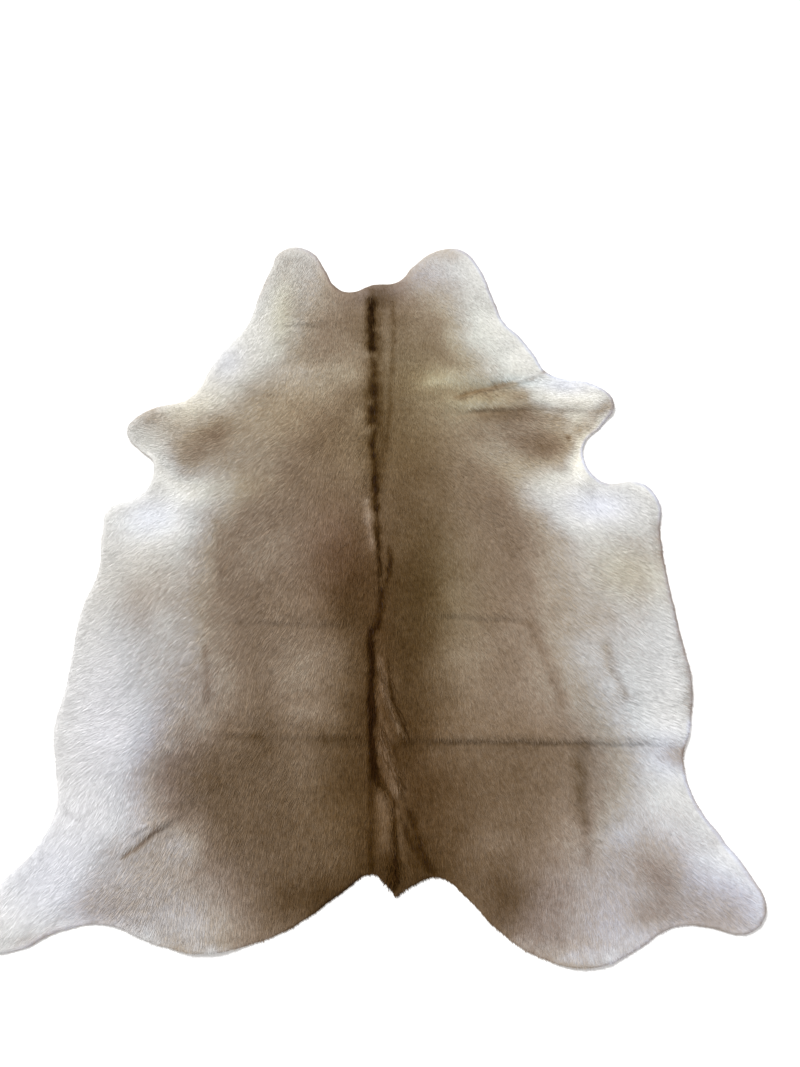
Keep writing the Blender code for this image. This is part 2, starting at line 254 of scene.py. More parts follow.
PATCHES = (
    Patch("right_lobe_top", 0.29, 2.025, 0.08, 0.045, -0.12),
    Patch("left_lobe_grey", -0.31, 2.01, 0.07, 0.11, -0.09),
    Patch("right_nape_pale", 0.15, 1.94, 0.07, 0.07, 0.05),
    Patch("left_neck_edge", -0.38, 1.90, 0.06, 0.10, -0.11),
    Patch("right_lobe_grey", 0.31, 1.87, 0.12, 0.12, -0.11),
    Patch("left_nape_pale", -0.18, 1.85, 0.08, 0.10, 0.05),
    Patch("nape_dark", 0.050, 1.850, 0.042, 0.055, -0.12),
    Patch("right_lobe_brown", 0.40, 1.80, 0.05, 0.05, -0.05),
    Patch("nape_dark_low", 0.10, 1.76, 0.05, 0.03, -0.06),
    Patch("left_neck_inner_pale", -0.11, 1.70, 0.05, 0.06, 0.05),
    Patch("stripe_bead_neck", -0.003, 1.678, 0.030, 0.030, -0.08),
    Patch("left_neck_spot_pale", -0.28, 1.67, 0.09, 0.08, 0.08),
    Patch("right_neck_edge", 0.42, 1.64, 0.07, 0.07, -0.07),
    Patch("stripe_gap_neck", -0.007, 1.636, 0.028, 0.018, 0.15),
    Patch("right_neck_brown", 0.20, 1.62, 0.09, 0.07, -0.06),
    Patch("shoulder_middle_pale", -0.08, 1.57, 0.07, 0.09, 0.06),
    Patch("left_neck_pale", -0.24, 1.54, 0.20, 0.10, 0.12),
    Patch("right_neck_pale", 0.33, 1.515, 0.12, 0.045, 0.10),
    Patch("right_neck_root_pale", 0.48, 1.50, 0.06, 0.03, 0.08),
    Patch("right_shoulder_seam_pale", 0.19, 1.490, 0.11, 0.025, 0.08),
    Patch("stripe_bead_shoulder", -0.008, 1.475, 0.036, 0.030, -0.10),
    Patch("right_roll_pale", 0.52, 1.460, 0.06, 0.03, 0.05),
    Patch("stripe_gap_shoulder", -0.012, 1.426, 0.028, 0.014, 0.12),
    Patch("right_roll_brown", 0.44, 1.425, 0.035, 0.022, -0.06),
    Patch("right_shoulder_top_pale", 0.32, 1.405, 0.13, 0.030, 0.13),
    # Painted shade on the turned-up toe of the left foreleg.
    Patch("left_foreleg_toe", -0.72, 1.40, 0.08, 0.06, -0.18),
    Patch("stripe_side_pale", -0.062, 1.38, 0.035, 0.07, 0.08),
    Patch("right_foreleg_toe", 0.72, 1.38, 0.04, 0.05, -0.18),
    Patch("left_foreleg_olive", -0.53, 1.36, 0.05, 0.025, -0.05),
    Patch("left_foreleg_root_brown", -0.49, 1.345, 0.06, 0.04, -0.06),
    Patch("left_shoulder_top", -0.38, 1.34, 0.13, 0.14, 0.11),
    Patch("left_foreleg_brown", -0.61, 1.33, 0.14, 0.09, -0.15),
    Patch("stripe_gap_withers", -0.015, 1.330, 0.028, 0.018, 0.15),
    Patch("shoulder_left_brown", -0.21, 1.31, 0.05, 0.05, -0.07),
    # left_foreleg_hollow and right_foreleg_brown: browner coat, with painted shade in the armpit hollows.
    Patch("left_foreleg_hollow", -0.57, 1.25, 0.05, 0.07, -0.09),
    Patch("right_foreleg_brown", 0.52, 1.24, 0.08, 0.07, -0.19),
    Patch("back_middle_pale", -0.09, 1.22, 0.05, 0.18, 0.07),
    Patch("shoulder_right_pale", 0.30, 1.21, 0.06, 0.06, 0.05),
    Patch("right_shoulder_pale", 0.38, 1.20, 0.10, 0.11, 0.12),
    Patch("left_shoulder_pale", -0.42, 1.17, 0.14, 0.12, 0.11),
    Patch("right_armpit_brown", 0.54, 1.17, 0.05, 0.04, -0.10),
    Patch("right_withers_brown", 0.14, 1.10, 0.12, 0.22, -0.04),
    Patch("right_armpit_corner", 0.71, 1.10, 0.06, 0.05, -0.06),
    Patch("right_armpit_grey", 0.62, 1.08, 0.04, 0.04, -0.06),
    Patch("right_brisket_pale", 0.47, 1.08, 0.07, 0.06, 0.07),
    Patch("left_flank_corner_pale", -0.69, 1.04, 0.10, 0.06, 0.13),
    Patch("right_flank_corner_pale", 0.70, 1.01, 0.09, 0.07, 0.09),
    Patch("left_withers_pale", -0.34, 0.94, 0.13, 0.14, 0.07),
    Patch("right_shoulder_grey", 0.53, 0.93, 0.10, 0.05, -0.06),
    Patch("left_back_dark", -0.12, 0.86, 0.09, 0.20, -0.05),
    Patch("right_back_dark", 0.13, 0.84, 0.10, 0.22, -0.06),
    Patch("right_flank_grey", 0.72, 0.84, 0.13, 0.25, -0.18),
    Patch("left_rib_pale", -0.55, 0.82, 0.12, 0.30, 0.12),
    Patch("left_flank_grey", -0.76, 0.82, 0.10, 0.20, -0.05),
    Patch("left_rib_grey", -0.70, 0.78, 0.07, 0.10, -0.06),
    Patch("right_belly_brown", 0.60, 0.70, 0.05, 0.06, -0.06),
    Patch("right_belly_pale", 0.53, 0.60, 0.05, 0.06, 0.05),
    Patch("left_loin_pale", -0.18, 0.60, 0.12, 0.09, 0.09),
    Patch("right_loin_pale", 0.20, 0.59, 0.06, 0.07, 0.06),
    Patch("right_rib_pale", 0.46, 0.58, 0.13, 0.30, 0.10),
    Patch("left_pleat_pale", -0.44, 0.57, 0.06, 0.16, 0.05),
    Patch("right_belly_grey", 0.71, 0.55, 0.08, 0.17, -0.06),
    Patch("loin_middle_pale", 0.00, 0.53, 0.04, 0.06, 0.08),
    Patch("left_croup_pale", -0.20, 0.45, 0.08, 0.05, 0.09),
    Patch("left_hip_brown", -0.34, 0.45, 0.06, 0.12, -0.04),
    Patch("left_hip_grey", -0.57, 0.44, 0.04, 0.04, -0.06),
    Patch("left_hip_pale", -0.49, 0.43, 0.05, 0.06, 0.08),
    Patch("left_belly_pale", -0.66, 0.42, 0.12, 0.06, 0.09),
    Patch("right_croup_pale", 0.12, 0.36, 0.06, 0.08, 0.04),
    Patch("left_thigh_grey", -0.62, 0.34, 0.14, 0.12, -0.11),
    Patch("left_croup_low_pale", -0.20, 0.31, 0.06, 0.06, 0.05),
    Patch("right_waist_grey", 0.76, 0.31, 0.07, 0.05, -0.24),
    Patch("right_thigh_grey", 0.60, 0.28, 0.11, 0.12, -0.13),
    Patch("rump_middle_pale", -0.01, 0.19, 0.05, 0.08, 0.06),
    Patch("right_haunch_edge", 0.73, 0.15, 0.08, 0.09, -0.09),
    Patch("haunch_light", -0.51, 0.14, 0.06, 0.06, 0.14),
    Patch("haunch_grey", -0.70, 0.13, 0.09, 0.08, -0.08),
    Patch("rump_left_pale", -0.12, 0.13, 0.06, 0.08, 0.06),
    Patch("right_haunch_pale", 0.55, 0.11, 0.06, 0.04, 0.07),
    Patch("rump_right_middle", 0.24, 0.10, 0.10, 0.05, 0.06),
    Patch("left_hind_grey", -0.90, 0.10, 0.06, 0.06, -0.06),
    Patch("right_toe_top", 0.79, 0.08, 0.05, 0.04, -0.08),
    Patch("right_buttock_pale", 0.42, 0.04, 0.14, 0.17, 0.08),
    # Painted shade over the swell of the right hind leg.
    Patch("right_haunch_grey", 0.65, 0.03, 0.09, 0.09, -0.20),
    Patch("left_bay_brown", -0.70, 0.01, 0.13, 0.08, -0.18),
    Patch("rump_left_edge", -0.20, 0.01, 0.15, 0.06, -0.10),
    Patch("rump_right_edge", 0.29, -0.01, 0.08, 0.05, -0.10),
    Patch("left_buttock_pale", -0.44, -0.02, 0.13, 0.13, 0.12),
    Patch("left_hind_edge", -0.86, -0.06, 0.12, 0.04, -0.14),
    Patch("right_bay_grey", 0.61, -0.07, 0.06, 0.04, -0.12),
    Patch("left_buttock_edge", -0.53, -0.08, 0.05, 0.04, -0.09),
    Patch("right_toe_grey", 0.76, -0.08, 0.18, 0.10, -0.26),
)

STREAKS = (
    Streak("nape_stripe", ((0.000, 1.880), (-0.001, 1.840)), 0.017, -0.08),
    Streak("neck_stripe", ((-0.002, 1.83), (-0.006, 1.76), (-0.007, 1.65)), 0.021, -0.27),
    Streak("crest_line", ((0.069, 1.83), (0.064, 1.66), (0.046, 1.46), (0.029, 1.26)), 0.009, -0.07),
    Streak("stripe_right_shade", ((0.022, 1.78), (0.018, 1.50), (0.010, 1.15)), 0.015, -0.06),
    Streak("stripe_left_pale", ((-0.055, 1.66), (-0.058, 1.62)), 0.014, 0.04),
    Streak("shoulder_stripe", ((-0.007, 1.62), (-0.008, 1.49), (-0.013, 1.36)), 0.022, -0.22),
    # Painted shade in the groove above the right foreleg's roll.
    Streak(
        "neck_groove", ((0.26, 1.436), (0.31, 1.453), (0.40, 1.480), (0.50, 1.502), (0.55, 1.524)),
        0.014, -0.15,
    ),
    # Painted highlight on the lit top of the right foreleg's roll.
    Streak("foreleg_bright", ((0.50, 1.416), (0.60, 1.414), (0.70, 1.405)), 0.022, 0.11),
    # foreleg_roll_line, foreleg_roll_end and foreleg_under_roll: painted shade along the roll and on its
    # shaded lower side.
    Streak("foreleg_roll_line", ((0.30, 1.385), (0.47, 1.382), (0.58, 1.376)), 0.007, -0.05),
    # Painted shade along the right foreleg's lower right edge, which faces away from the key light.
    Streak("foreleg_edge", ((0.702, 1.378), (0.668, 1.340), (0.632, 1.300)), 0.026, -0.14),
    Streak("foreleg_roll_end", ((0.57, 1.374), (0.70, 1.366)), 0.012, -0.06),
    Streak("foreleg_under_roll", ((0.34, 1.372), (0.47, 1.362), (0.57, 1.345)), 0.026, -0.09),
    Streak("withers_stripe", ((-0.014, 1.33), (-0.012, 1.20), (-0.011, 1.06)), 0.014, -0.22),
    Streak("foreleg_freckle", ((0.586, 1.280), (0.589, 1.276)), 0.008, -0.30),
    Streak("right_armpit_pale", ((0.645, 1.27), (0.620, 1.22), (0.60, 1.14)), 0.024, 0.14),
    Streak("left_armpit_pale", ((-0.69, 1.26), (-0.65, 1.20), (-0.58, 1.12)), 0.028, 0.05),
    Streak("withers_line_pale", ((-0.039, 1.09), (-0.035, 1.01), (-0.026, 0.94)), 0.012, 0.13),
    Streak("withers_line", ((-0.011, 1.06), (-0.009, 0.94), (-0.008, 0.86)), 0.009, -0.13),
    # Painted shade along the left shoulder's pleat.
    Streak("left_shoulder_pleat", ((-0.478, 1.03), (-0.462, 0.95), (-0.450, 0.88)), 0.020, -0.05),
    # Painted shade along the right flank's edge, which faces away from the key light.
    Streak("right_flank_edge", ((0.820, 0.95), (0.830, 0.80), (0.825, 0.60), (0.805, 0.42)), 0.034, -0.16),
    Streak("second_line", ((0.022, 0.93), (0.023, 0.89), (0.012, 0.83)), 0.008, -0.15),
    Streak("back_gap", ((-0.004, 0.80), (-0.010, 0.75), (-0.022, 0.69)), 0.012, -0.13),
    # Painted shade along the right flank's pleat.
    Streak("right_flank_pleat", ((0.40, 0.69), (0.43, 0.60), (0.465, 0.46)), 0.022, -0.07),
    Streak("loin_line", ((-0.038, 0.68), (-0.038, 0.57), (-0.043, 0.42), (-0.044, 0.30)), 0.012, -0.17),
    # left_flank_pleat and right_belly_pleat: painted shade along pleats.
    Streak("left_flank_pleat", ((-0.488, 0.655), (-0.484, 0.60), (-0.480, 0.51)), 0.011, -0.06),
    Streak("right_belly_pleat", ((0.601, 0.61), (0.603, 0.56), (0.611, 0.52), (0.630, 0.465)), 0.015, -0.09),
    Streak("hip_braid", ((-0.020, 0.60), (-0.004, 0.50), (0.034, 0.40)), 0.010, 0.12),
    Streak("hip_valley", ((0.004, 0.59), (0.014, 0.48), (0.040, 0.41)), 0.008, -0.06),
    Streak("hip_braid_inner", ((-0.028, 0.49), (-0.012, 0.43), (0.010, 0.38)), 0.010, 0.05),
    # Painted shade on the back fold.
    Streak("back_fold_spot", ((-0.352, 0.403), (-0.334, 0.399)), 0.010, -0.08),
    Streak("croup_braid", ((-0.018, 0.40), (-0.006, 0.33), (0.016, 0.26)), 0.024, 0.10),
    # back_fold_left and back_fold_right: painted shade along the back fold's crease.
    Streak("back_fold_left", ((-0.055, 0.386), (-0.21, 0.394), (-0.34, 0.401), (-0.50, 0.422)), 0.008, -0.03),
    Streak("back_fold_right", ((0.034, 0.373), (0.40, 0.352), (0.52, 0.346)), 0.005, -0.05),
    Streak("croup_edge_left", ((-0.046, 0.37), (-0.034, 0.31), (-0.008, 0.262)), 0.006, -0.08),
    Streak("croup_edge_right", ((0.012, 0.37), (0.022, 0.31), (0.030, 0.26)), 0.006, -0.06),
    # Painted shade on the shaded side of the thigh crease.
    Streak("thigh_shade", ((0.498, 0.335), (0.486, 0.25), (0.478, 0.16)), 0.034, -0.10),
    Streak("tail_line", ((-0.046, 0.29), (-0.020, 0.262), (0.004, 0.232)), 0.007, -0.10),
    Streak("left_rump_streak", ((-0.049, 0.28), (-0.052, 0.17), (-0.056, 0.08)), 0.009, -0.08),
    Streak("tail_root_pale", ((-0.024, 0.25), (-0.022, 0.12)), 0.015, 0.08),
    Streak("tail_tip_line", ((0.005, 0.225), (0.006, 0.14), (0.004, 0.07), (0.000, 0.02)), 0.007, -0.12),
    Streak("rump_streak_outer", ((0.046, 0.20), (0.066, 0.124), (0.094, 0.060)), 0.010, -0.10),
    Streak("tail_side_pale", ((0.020, 0.19), (0.024, 0.10), (0.040, 0.05)), 0.010, 0.05),
    Streak("rump_streak_inner", ((0.022, 0.185), (0.044, 0.126), (0.085, 0.062)), 0.007, -0.08),
    # Painted shade beside the lower thigh crease.
    Streak("thigh_shade_low", ((0.477, 0.16), (0.478, 0.055)), 0.016, -0.06),
    # Painted shade along the haunch crease.
    Streak("haunch_line", ((-0.664, 0.120), (-0.580, 0.184)), 0.006, -0.16),
    # tail_root_rim, left_buttock_rim and right_buttock_rim: painted light that lifts the rims facing the
    # tail, which the key light leaves in shade.
    Streak("tail_root_rim", ((-0.06, 0.00), (0.00, -0.01), (0.06, 0.00)), 0.030, 0.16),
    Streak("left_buttock_rim", ((-0.43, -0.12), (-0.36, -0.125), (-0.28, -0.10)), 0.036, 0.21),
    Streak("right_buttock_rim", ((0.30, -0.12), (0.38, -0.15), (0.50, -0.16)), 0.035, 0.12),
)

TINTS = (
    Tint("saddle", 0.00, 0.90, 0.30, 1.10, 0.38, 0.00),
    Tint("neck_crest_cool", 0.12, 1.93, 0.16, 0.10, -0.70, 0.10),
    Tint("nape_cool", 0.00, 1.88, 0.10, 0.07, -1.10, 0.00),
    Tint("neck_left_warm", -0.29, 1.80, 0.06, 0.20, 0.70, 0.00),
    Tint("neck_left_edge_cool", -0.47, 1.60, 0.07, 0.10, -0.45, 0.00),
    Tint("shoulder_right_warm", 0.16, 1.52, 0.12, 0.08, 0.45, 0.00),
    Tint("neck_olive", 0.14, 1.50, 0.26, 0.35, 0.25, -0.60),
    # Painted shade: greys the groove above the right foreleg.
    Tint("neck_groove_cool", 0.40, 1.487, 0.14, 0.028, -0.70, -0.50),
    Tint("right_foreleg_top_cool", 0.60, 1.47, 0.10, 0.05, -0.60, 0.00),
    Tint("right_roll_warm", 0.35, 1.43, 0.16, 0.07, 0.75, 0.00),
    Tint("shoulder_left_warm", -0.32, 1.41, 0.26, 0.18, 0.80, 0.20),
    Tint("left_foreleg_warm", -0.60, 1.39, 0.13, 0.10, 0.70, 0.20),
    Tint("right_foreleg_warm", 0.62, 1.29, 0.13, 0.12, 0.90, 0.20),
    Tint("shoulder_middle_warm", 0.00, 1.26, 0.26, 0.15, 0.42, 0.00),
    Tint("brisket_right_warm", 0.44, 1.17, 0.14, 0.07, 0.50, 0.00),
    Tint("brisket_left_warm", -0.42, 1.15, 0.16, 0.07, 0.45, 0.00),
    Tint("left_corner_cool", -0.67, 1.06, 0.12, 0.09, -0.50, 0.00),
    Tint("right_corner_cool", 0.64, 1.04, 0.12, 0.07, -0.65, 0.00),
    Tint("mid_back_ruddy", -0.12, 0.92, 0.12, 0.20, 0.10, 0.80),
    Tint("left_flank_warm", -0.66, 0.84, 0.14, 0.12, 0.50, 0.25),
    Tint("right_flank_warm", 0.70, 0.82, 0.14, 0.11, 0.80, 0.00),
    Tint("right_back_olive", 0.16, 0.80, 0.14, 0.30, 0.10, -0.60),
    Tint("right_flank_cool", 0.74, 0.60, 0.14, 0.40, -0.20, 0.00),
    Tint("left_pleat_cool", -0.50, 0.55, 0.07, 0.11, -0.50, 0.00),
    Tint("spine_ruddy", -0.02, 0.50, 0.05, 0.40, 0.50, 0.50),
    Tint("left_flank_cool", -0.74, 0.45, 0.18, 0.40, -0.35, 0.10),
    Tint("right_thigh_cool", 0.55, 0.34, 0.12, 0.28, -0.80, -0.35),
    Tint("left_thigh_cool", -0.57, 0.33, 0.11, 0.20, -0.70, 0.00),
    Tint("right_waist_cool", 0.72, 0.31, 0.08, 0.07, -0.60, 0.00),
    Tint("rump_ruddy", 0.06, 0.25, 0.14, 0.20, 0.20, 0.30),
    Tint("croup_warm", -0.10, 0.20, 0.14, 0.16, 0.40, 0.00),
    Tint("left_hind_cool", -0.86, 0.08, 0.20, 0.16, -0.45, 0.05),
    Tint("left_buttock_cool", -0.46, 0.04, 0.20, 0.14, -0.55, 0.00),
    Tint("buttock_cool", 0.60, 0.00, 0.25, 0.16, -1.00, 0.00),
    Tint("left_bay_cool", -0.70, 0.00, 0.12, 0.06, -0.45, 0.00),
    Tint("buttock_edge_cool", 0.36, -0.06, 0.18, 0.12, -0.95, 0.00),
    Tint("right_toe_cool", 0.80, -0.06, 0.14, 0.08, -1.00, 0.00),
)

LAY_GUIDES = (
    LayGuide("nape", 0.00, 1.88, 0.12, -90, 0.8),
    LayGuide("lobe", 0.25, 1.98, 0.12, -70, 0.8),
    LayGuide("lower_neck", 0.05, 1.60, 0.16, -88, 0.9),
    LayGuide("neck_side", 0.35, 1.65, 0.14, -55, 0.9),
    LayGuide("withers", 0.05, 1.20, 0.20, -84, 1.0),
    LayGuide("shoulder", 0.30, 1.30, 0.14, -50, 0.9),
    LayGuide("foreleg", 0.62, 1.36, 0.12, -12, 0.7),
    LayGuide("armpit", 0.55, 1.14, 0.12, -35, 0.8),
    LayGuide("back", 0.06, 0.75, 0.22, -82, 1.0),
    LayGuide("rib", 0.35, 0.80, 0.20, -62, 1.0),
    LayGuide("flank", 0.68, 0.78, 0.18, -42, 1.1),
    LayGuide("belly", 0.74, 0.50, 0.14, -30, 1.2),
    LayGuide("croup", 0.06, 0.30, 0.20, -86, 1.0),
    LayGuide("hip", 0.35, 0.40, 0.18, -70, 1.0),
    LayGuide("thigh", 0.62, 0.22, 0.14, -62, 0.9),
    LayGuide("hind_leg", 0.88, 0.02, 0.14, -38, 0.7),
    LayGuide("buttock", 0.40, -0.06, 0.14, -82, 0.9),
    LayGuide("tail", 0.00, 0.03, 0.06, -90, 1.3),
)

CREASES = (
    Crease("back_fold_right", ((0.040, 0.379), (0.40, 0.360), (0.775, 0.336)), 0.0032, 0.026, 0.006),
    Crease(
        "back_fold_left", ((-0.040, 0.390), (-0.21, 0.399), (-0.35, 0.409), (-0.51, 0.430)),
        0.0012, 0.030, 0.010,
    ),
    Crease("foreleg_roll_right", ((0.22, 1.390), (0.45, 1.388), (0.69, 1.377)), 0.0034, 0.032, 0.009),
    Crease(
        "foreleg_groove_right", ((0.22, 1.426), (0.31, 1.456), (0.40, 1.482), (0.545, 1.520)),
        -0.0024, 0.012, 0.010,
    ),
    Crease("thigh_crease", ((0.488, 0.335), (0.480, 0.22), (0.476, 0.055)), 0.0020, 0.018, 0.034),
    Crease("haunch_diagonal", ((-0.685, 0.116), (-0.625, 0.162), (-0.552, 0.216)), 0.0036, 0.022, 0.007),
    Crease("haunch_ripple", ((-0.655, 0.172), (-0.600, 0.200)), 0.0022, 0.010, 0.007),
    Crease("haunch_ripple_end", ((-0.590, 0.186), (-0.530, 0.224)), 0.0026, 0.012, 0.007),
    Crease("haunch_pleat", ((-0.612, 0.350), (-0.568, 0.386)), 0.0030, 0.020, 0.010),
    Crease("haunch_wrinkle", ((-0.798, 0.213), (-0.740, 0.259)), 0.0020, 0.018, 0.010),
    Crease("left_back_pleat", ((-0.472, 0.731), (-0.26, 0.716), (-0.060, 0.698)), 0.0012, 0.022, 0.010),
    Crease("right_back_pleat", ((0.128, 0.720), (0.27, 0.708), (0.406, 0.693)), 0.0018, 0.022, 0.010),
    Crease("left_flank_pleat", ((-0.484, 0.712), (-0.486, 0.62), (-0.478, 0.48)), 0.0024, 0.010, 0.022),
    Crease("left_shoulder_pleat", ((-0.486, 1.045), (-0.472, 0.95), (-0.460, 0.830)), 0.0022, 0.012, 0.022),
    Crease("right_flank_pleat", ((0.410, 0.676), (0.443, 0.532)), 0.0014, 0.022, 0.012),
    Crease("right_belly_pleat", ((0.602, 0.625), (0.606, 0.54), (0.632, 0.455)), 0.0018, 0.022, 0.011),
    Crease("crest_wrinkle", ((0.086, 1.820), (0.078, 1.57), (0.071, 1.327)), 0.0018, 0.018, 0.010),
    Crease("neck_wrinkle_high", ((-0.342, 1.753), (-0.26, 1.751), (-0.176, 1.746)), 0.0018, 0.018, 0.010),
    Crease("neck_wrinkle_low", ((-0.431, 1.500), (-0.304, 1.475)), 0.0018, 0.018, 0.010),
    Crease(
        "spine_groove_high", ((-0.005, 1.880), (-0.010, 1.49), (-0.013, 1.20), (-0.008, 0.82)),
        -0.0014, 0.008, 0.008,
    ),
    Crease(
        "loin_groove", ((-0.041, 0.667), (-0.040, 0.58), (-0.046, 0.42), (-0.037, 0.29)),
        -0.0020, 0.008, 0.008,
    ),
    Crease(
        "tail_groove", ((-0.037, 0.290), (-0.008, 0.245), (0.005, 0.20), (0.002, 0.04)),
        -0.0010, 0.008, 0.008,
    ),
    Crease("hip_braid", ((-0.024, 0.61), (-0.010, 0.53), (0.013, 0.46), (0.036, 0.39)), 0.0016, 0.008, 0.008),
    Crease("croup_braid", ((-0.026, 0.38), (-0.009, 0.295), (0.036, 0.211)), 0.0018, 0.010, 0.008),
)

WISPS = (
    Wisps("neck_stripe", ((-0.002, 1.86), (-0.008, 1.66)), 60, 0.040, 0.009, 0.0011, -0.08, 0.002),
    Wisps("withers_line", ((-0.015, 1.06), (-0.008, 0.82)), 40, 0.045, 0.006, 0.0009, -0.05, 0.002),
    Wisps(
        "loin_line_high", ((-0.041, 0.68), (-0.040, 0.56), (-0.043, 0.49)),
        46, 0.055, 0.007, 0.0009, -0.05, 0.003,
    ),
    Wisps(
        "loin_line_low", ((-0.043, 0.49), (-0.046, 0.40), (-0.039, 0.30)),
        44, 0.055, 0.007, 0.0009, -0.05, 0.003,
    ),
    Wisps(
        "hip_braid", ((-0.020, 0.60), (-0.004, 0.50), (0.034, 0.40)), 34, 0.060, 0.009, 0.0008, -0.09, 0.003
    ),
    Wisps(
        "hip_valley", ((0.004, 0.59), (0.014, 0.48), (0.040, 0.41)), 24, 0.055, 0.008, 0.0008, -0.09, 0.003
    ),
    Wisps(
        "croup_braid", ((-0.022, 0.42), (-0.006, 0.34), (0.016, 0.27)),
        44, 0.055, 0.018, 0.0008, -0.10, 0.003,
    ),
    Wisps(
        "tail_line", ((-0.037, 0.29), (-0.010, 0.242), (0.004, 0.20), (0.004, 0.12)),
        50, 0.045, 0.009, 0.0009, -0.02, 0.003,
    ),
    Wisps("tail_tuft", ((0.004, 0.095), (0.000, 0.045)), 70, 0.034, 0.013, 0.0011, -0.04, 0.002),
)

SHADES = (
    Shade("seal", 0.10, (0.025, 0.010, 0.002, 1.0)),
    Shade("umber", 0.20, (0.06, 0.03, 0.007, 1.0)),
    Shade("brown", 0.30, (0.12, 0.073, 0.034, 1.0)),
    Shade("fawn", 0.40, (0.20, 0.14, 0.088, 1.0)),
    Shade("dun", 0.50, (0.30, 0.23, 0.17, 1.0)),
    Shade("grey_fawn", 0.60, (0.42, 0.36, 0.29, 1.0)),
    Shade("ash", 0.70, (0.52, 0.49, 0.46, 1.0)),
    Shade("silver", 0.80, (0.67, 0.67, 0.65, 1.0)),
    Shade("white", 0.88, (0.78, 0.77, 0.74, 1.0)),
    Shade("snow", 0.96, (0.88, 0.88, 0.85, 1.0)),
)

HUE_DYES = {
    "Warmth": ((0.96, 1.00, 1.16, 1.0), (1.04, 1.00, 0.84, 1.0)),
    "Ruddiness": ((0.95, 1.04, 0.94, 1.0), (1.05, 0.96, 1.06, 1.0)),
}

MOTTLES = (
    Mottle("cloud", Grain(11.0, 3.0), 0.10),
    Mottle("tuft", Grain(70.0, 3.0), 0.12),
    Mottle("grizzle", Grain(380.0, 2.0, 0.7), 0.16),
)
FIBRES = Grain(1.0, 4.0, 0.6)
FIBRE_TUFTS = Grain(0.16, 2.0)

TREE_ENDS = (
    ("Map Corner", "Vector", None),
    ("Map Scale", "Vector", None),
    ("Finish", "Material", None),
)


def soft_step(low: float | np.ndarray, high: float | np.ndarray, values: np.ndarray) -> np.ndarray:
    """Ease from 0 to 1 as values go from low to high.

    Args:
        low: Where the step begins.
        high: Where the step ends.
        values: The numbers to ease.

    Returns:
        The eased shares, one for each value.
    """
    share = np.clip((values - low) / (high - low), 0.0, 1.0)
    return share * share * (3.0 - 2.0 * share)


def bell(share: np.ndarray) -> np.ndarray:
    """Return a soft hump: 1 at a share of 0, about a quarter at 1, then fading."""
    return np.exp(-BELL_SHARPNESS * share * share)


def oval(out: np.ndarray, along: np.ndarray, spot: Patch | Tint) -> np.ndarray:
    """Return how near places are to the middle of a soft oval, as a bell from 1 down."""
    return bell(np.hypot((out - spot.out) / spot.half_out, (along - spot.along) / spot.half_along))


def route_offset(out: np.ndarray, along: np.ndarray, route: Route) -> Pair:
    """Measure how places lie beside a route of straight legs.

    Args:
        out: Distances from the spine.
        along: Distances from the tail.
        route: The corners of the route.

    Returns:
        The signed distance to the nearest leg, positive on the left of the way, and
        the share of the route's length where that nearest spot lies.
    """
    corners = np.array(route)
    legs = np.diff(corners, axis=0)
    lengths = np.hypot(legs[:, 0], legs[:, 1])
    before = np.concatenate([[0.0], np.cumsum(lengths)])
    nearest = np.full(out.shape, np.inf)
    signed = np.zeros(out.shape)
    share = np.zeros(out.shape)
    for corner, leg, length, run in zip(corners, legs, lengths, before):
        aside_out = out - corner[0]
        aside_along = along - corner[1]
        raw = (aside_out * leg[0] + aside_along * leg[1]) / length
        foot = np.clip(raw, 0.0, length)
        gap_out = aside_out - foot * leg[0] / length
        gap_along = aside_along - foot * leg[1] / length
        gap = np.hypot(gap_out, gap_along)
        turn = np.sign(leg[0] * aside_along - leg[1] * aside_out)
        closer = gap < nearest
        nearest = np.where(closer, gap, nearest)
        signed = np.where(closer, gap * turn, signed)
        share = np.where(closer, (run + foot) / before[-1], share)
    return signed, share


def loop_area(corners: np.ndarray) -> float:
    """Return the area inside a closed line, above 0 where it runs anticlockwise."""
    x, y = corners.T
    return float(0.5 * np.sum(x * np.roll(y, -1) - np.roll(x, -1) * y))


def blend_cells(
    table: np.ndarray, rows: Pair, columns: Pair, up: np.ndarray, across: np.ndarray
) -> np.ndarray:
    """Blend the four numbers of a table that lie round each place.

    Args:
        table: The numbers, by row and column.
        rows: The row below each place and the one above it.
        columns: The column on the left of each place and the one on its right.
        up: How far each place is from its lower row to its upper one.
        across: How far each place is from its left column to its right one.

    Returns:
        One number for each place.
    """
    left, right = columns
    bottom, top = (table[row, left] * (1.0 - across) + table[row, right] * across for row in rows)
    return bottom * (1.0 - up) + top * up


@dataclass(frozen=True)
class SoftNoise:
    """Smooth random values over the hide, up to its strength either way, the same on every run."""

    seed: int
    cell: float
    strength: float = 1.0
    lattice: int = 128

    def at(self, x: np.ndarray, y: np.ndarray) -> np.ndarray:
        """Return the noise at places.

        Args:
            x: First coordinates, in metres.
            y: Second coordinates, in metres.

        Returns:
            One value for each place.
        """
        table = np.random.default_rng(self.seed).uniform(-1.0, 1.0, (self.lattice, self.lattice))
        column = x / self.cell
        row = y / self.cell
        left = np.floor(column).astype(int)
        low = np.floor(row).astype(int)
        across = soft_step(0.0, 1.0, column - left)
        up = soft_step(0.0, 1.0, row - low)
        rows = (low % self.lattice, (low + 1) % self.lattice)
        columns = (left % self.lattice, (left + 1) % self.lattice)
        return self.strength * blend_cells(table, rows, columns, up, across)


def noise_sum(layers: Sequence[SoftNoise], x: np.ndarray, y: np.ndarray) -> np.ndarray:
    """Add up several soft noises at places."""
    return sum(layer.at(x, y) for layer in layers)


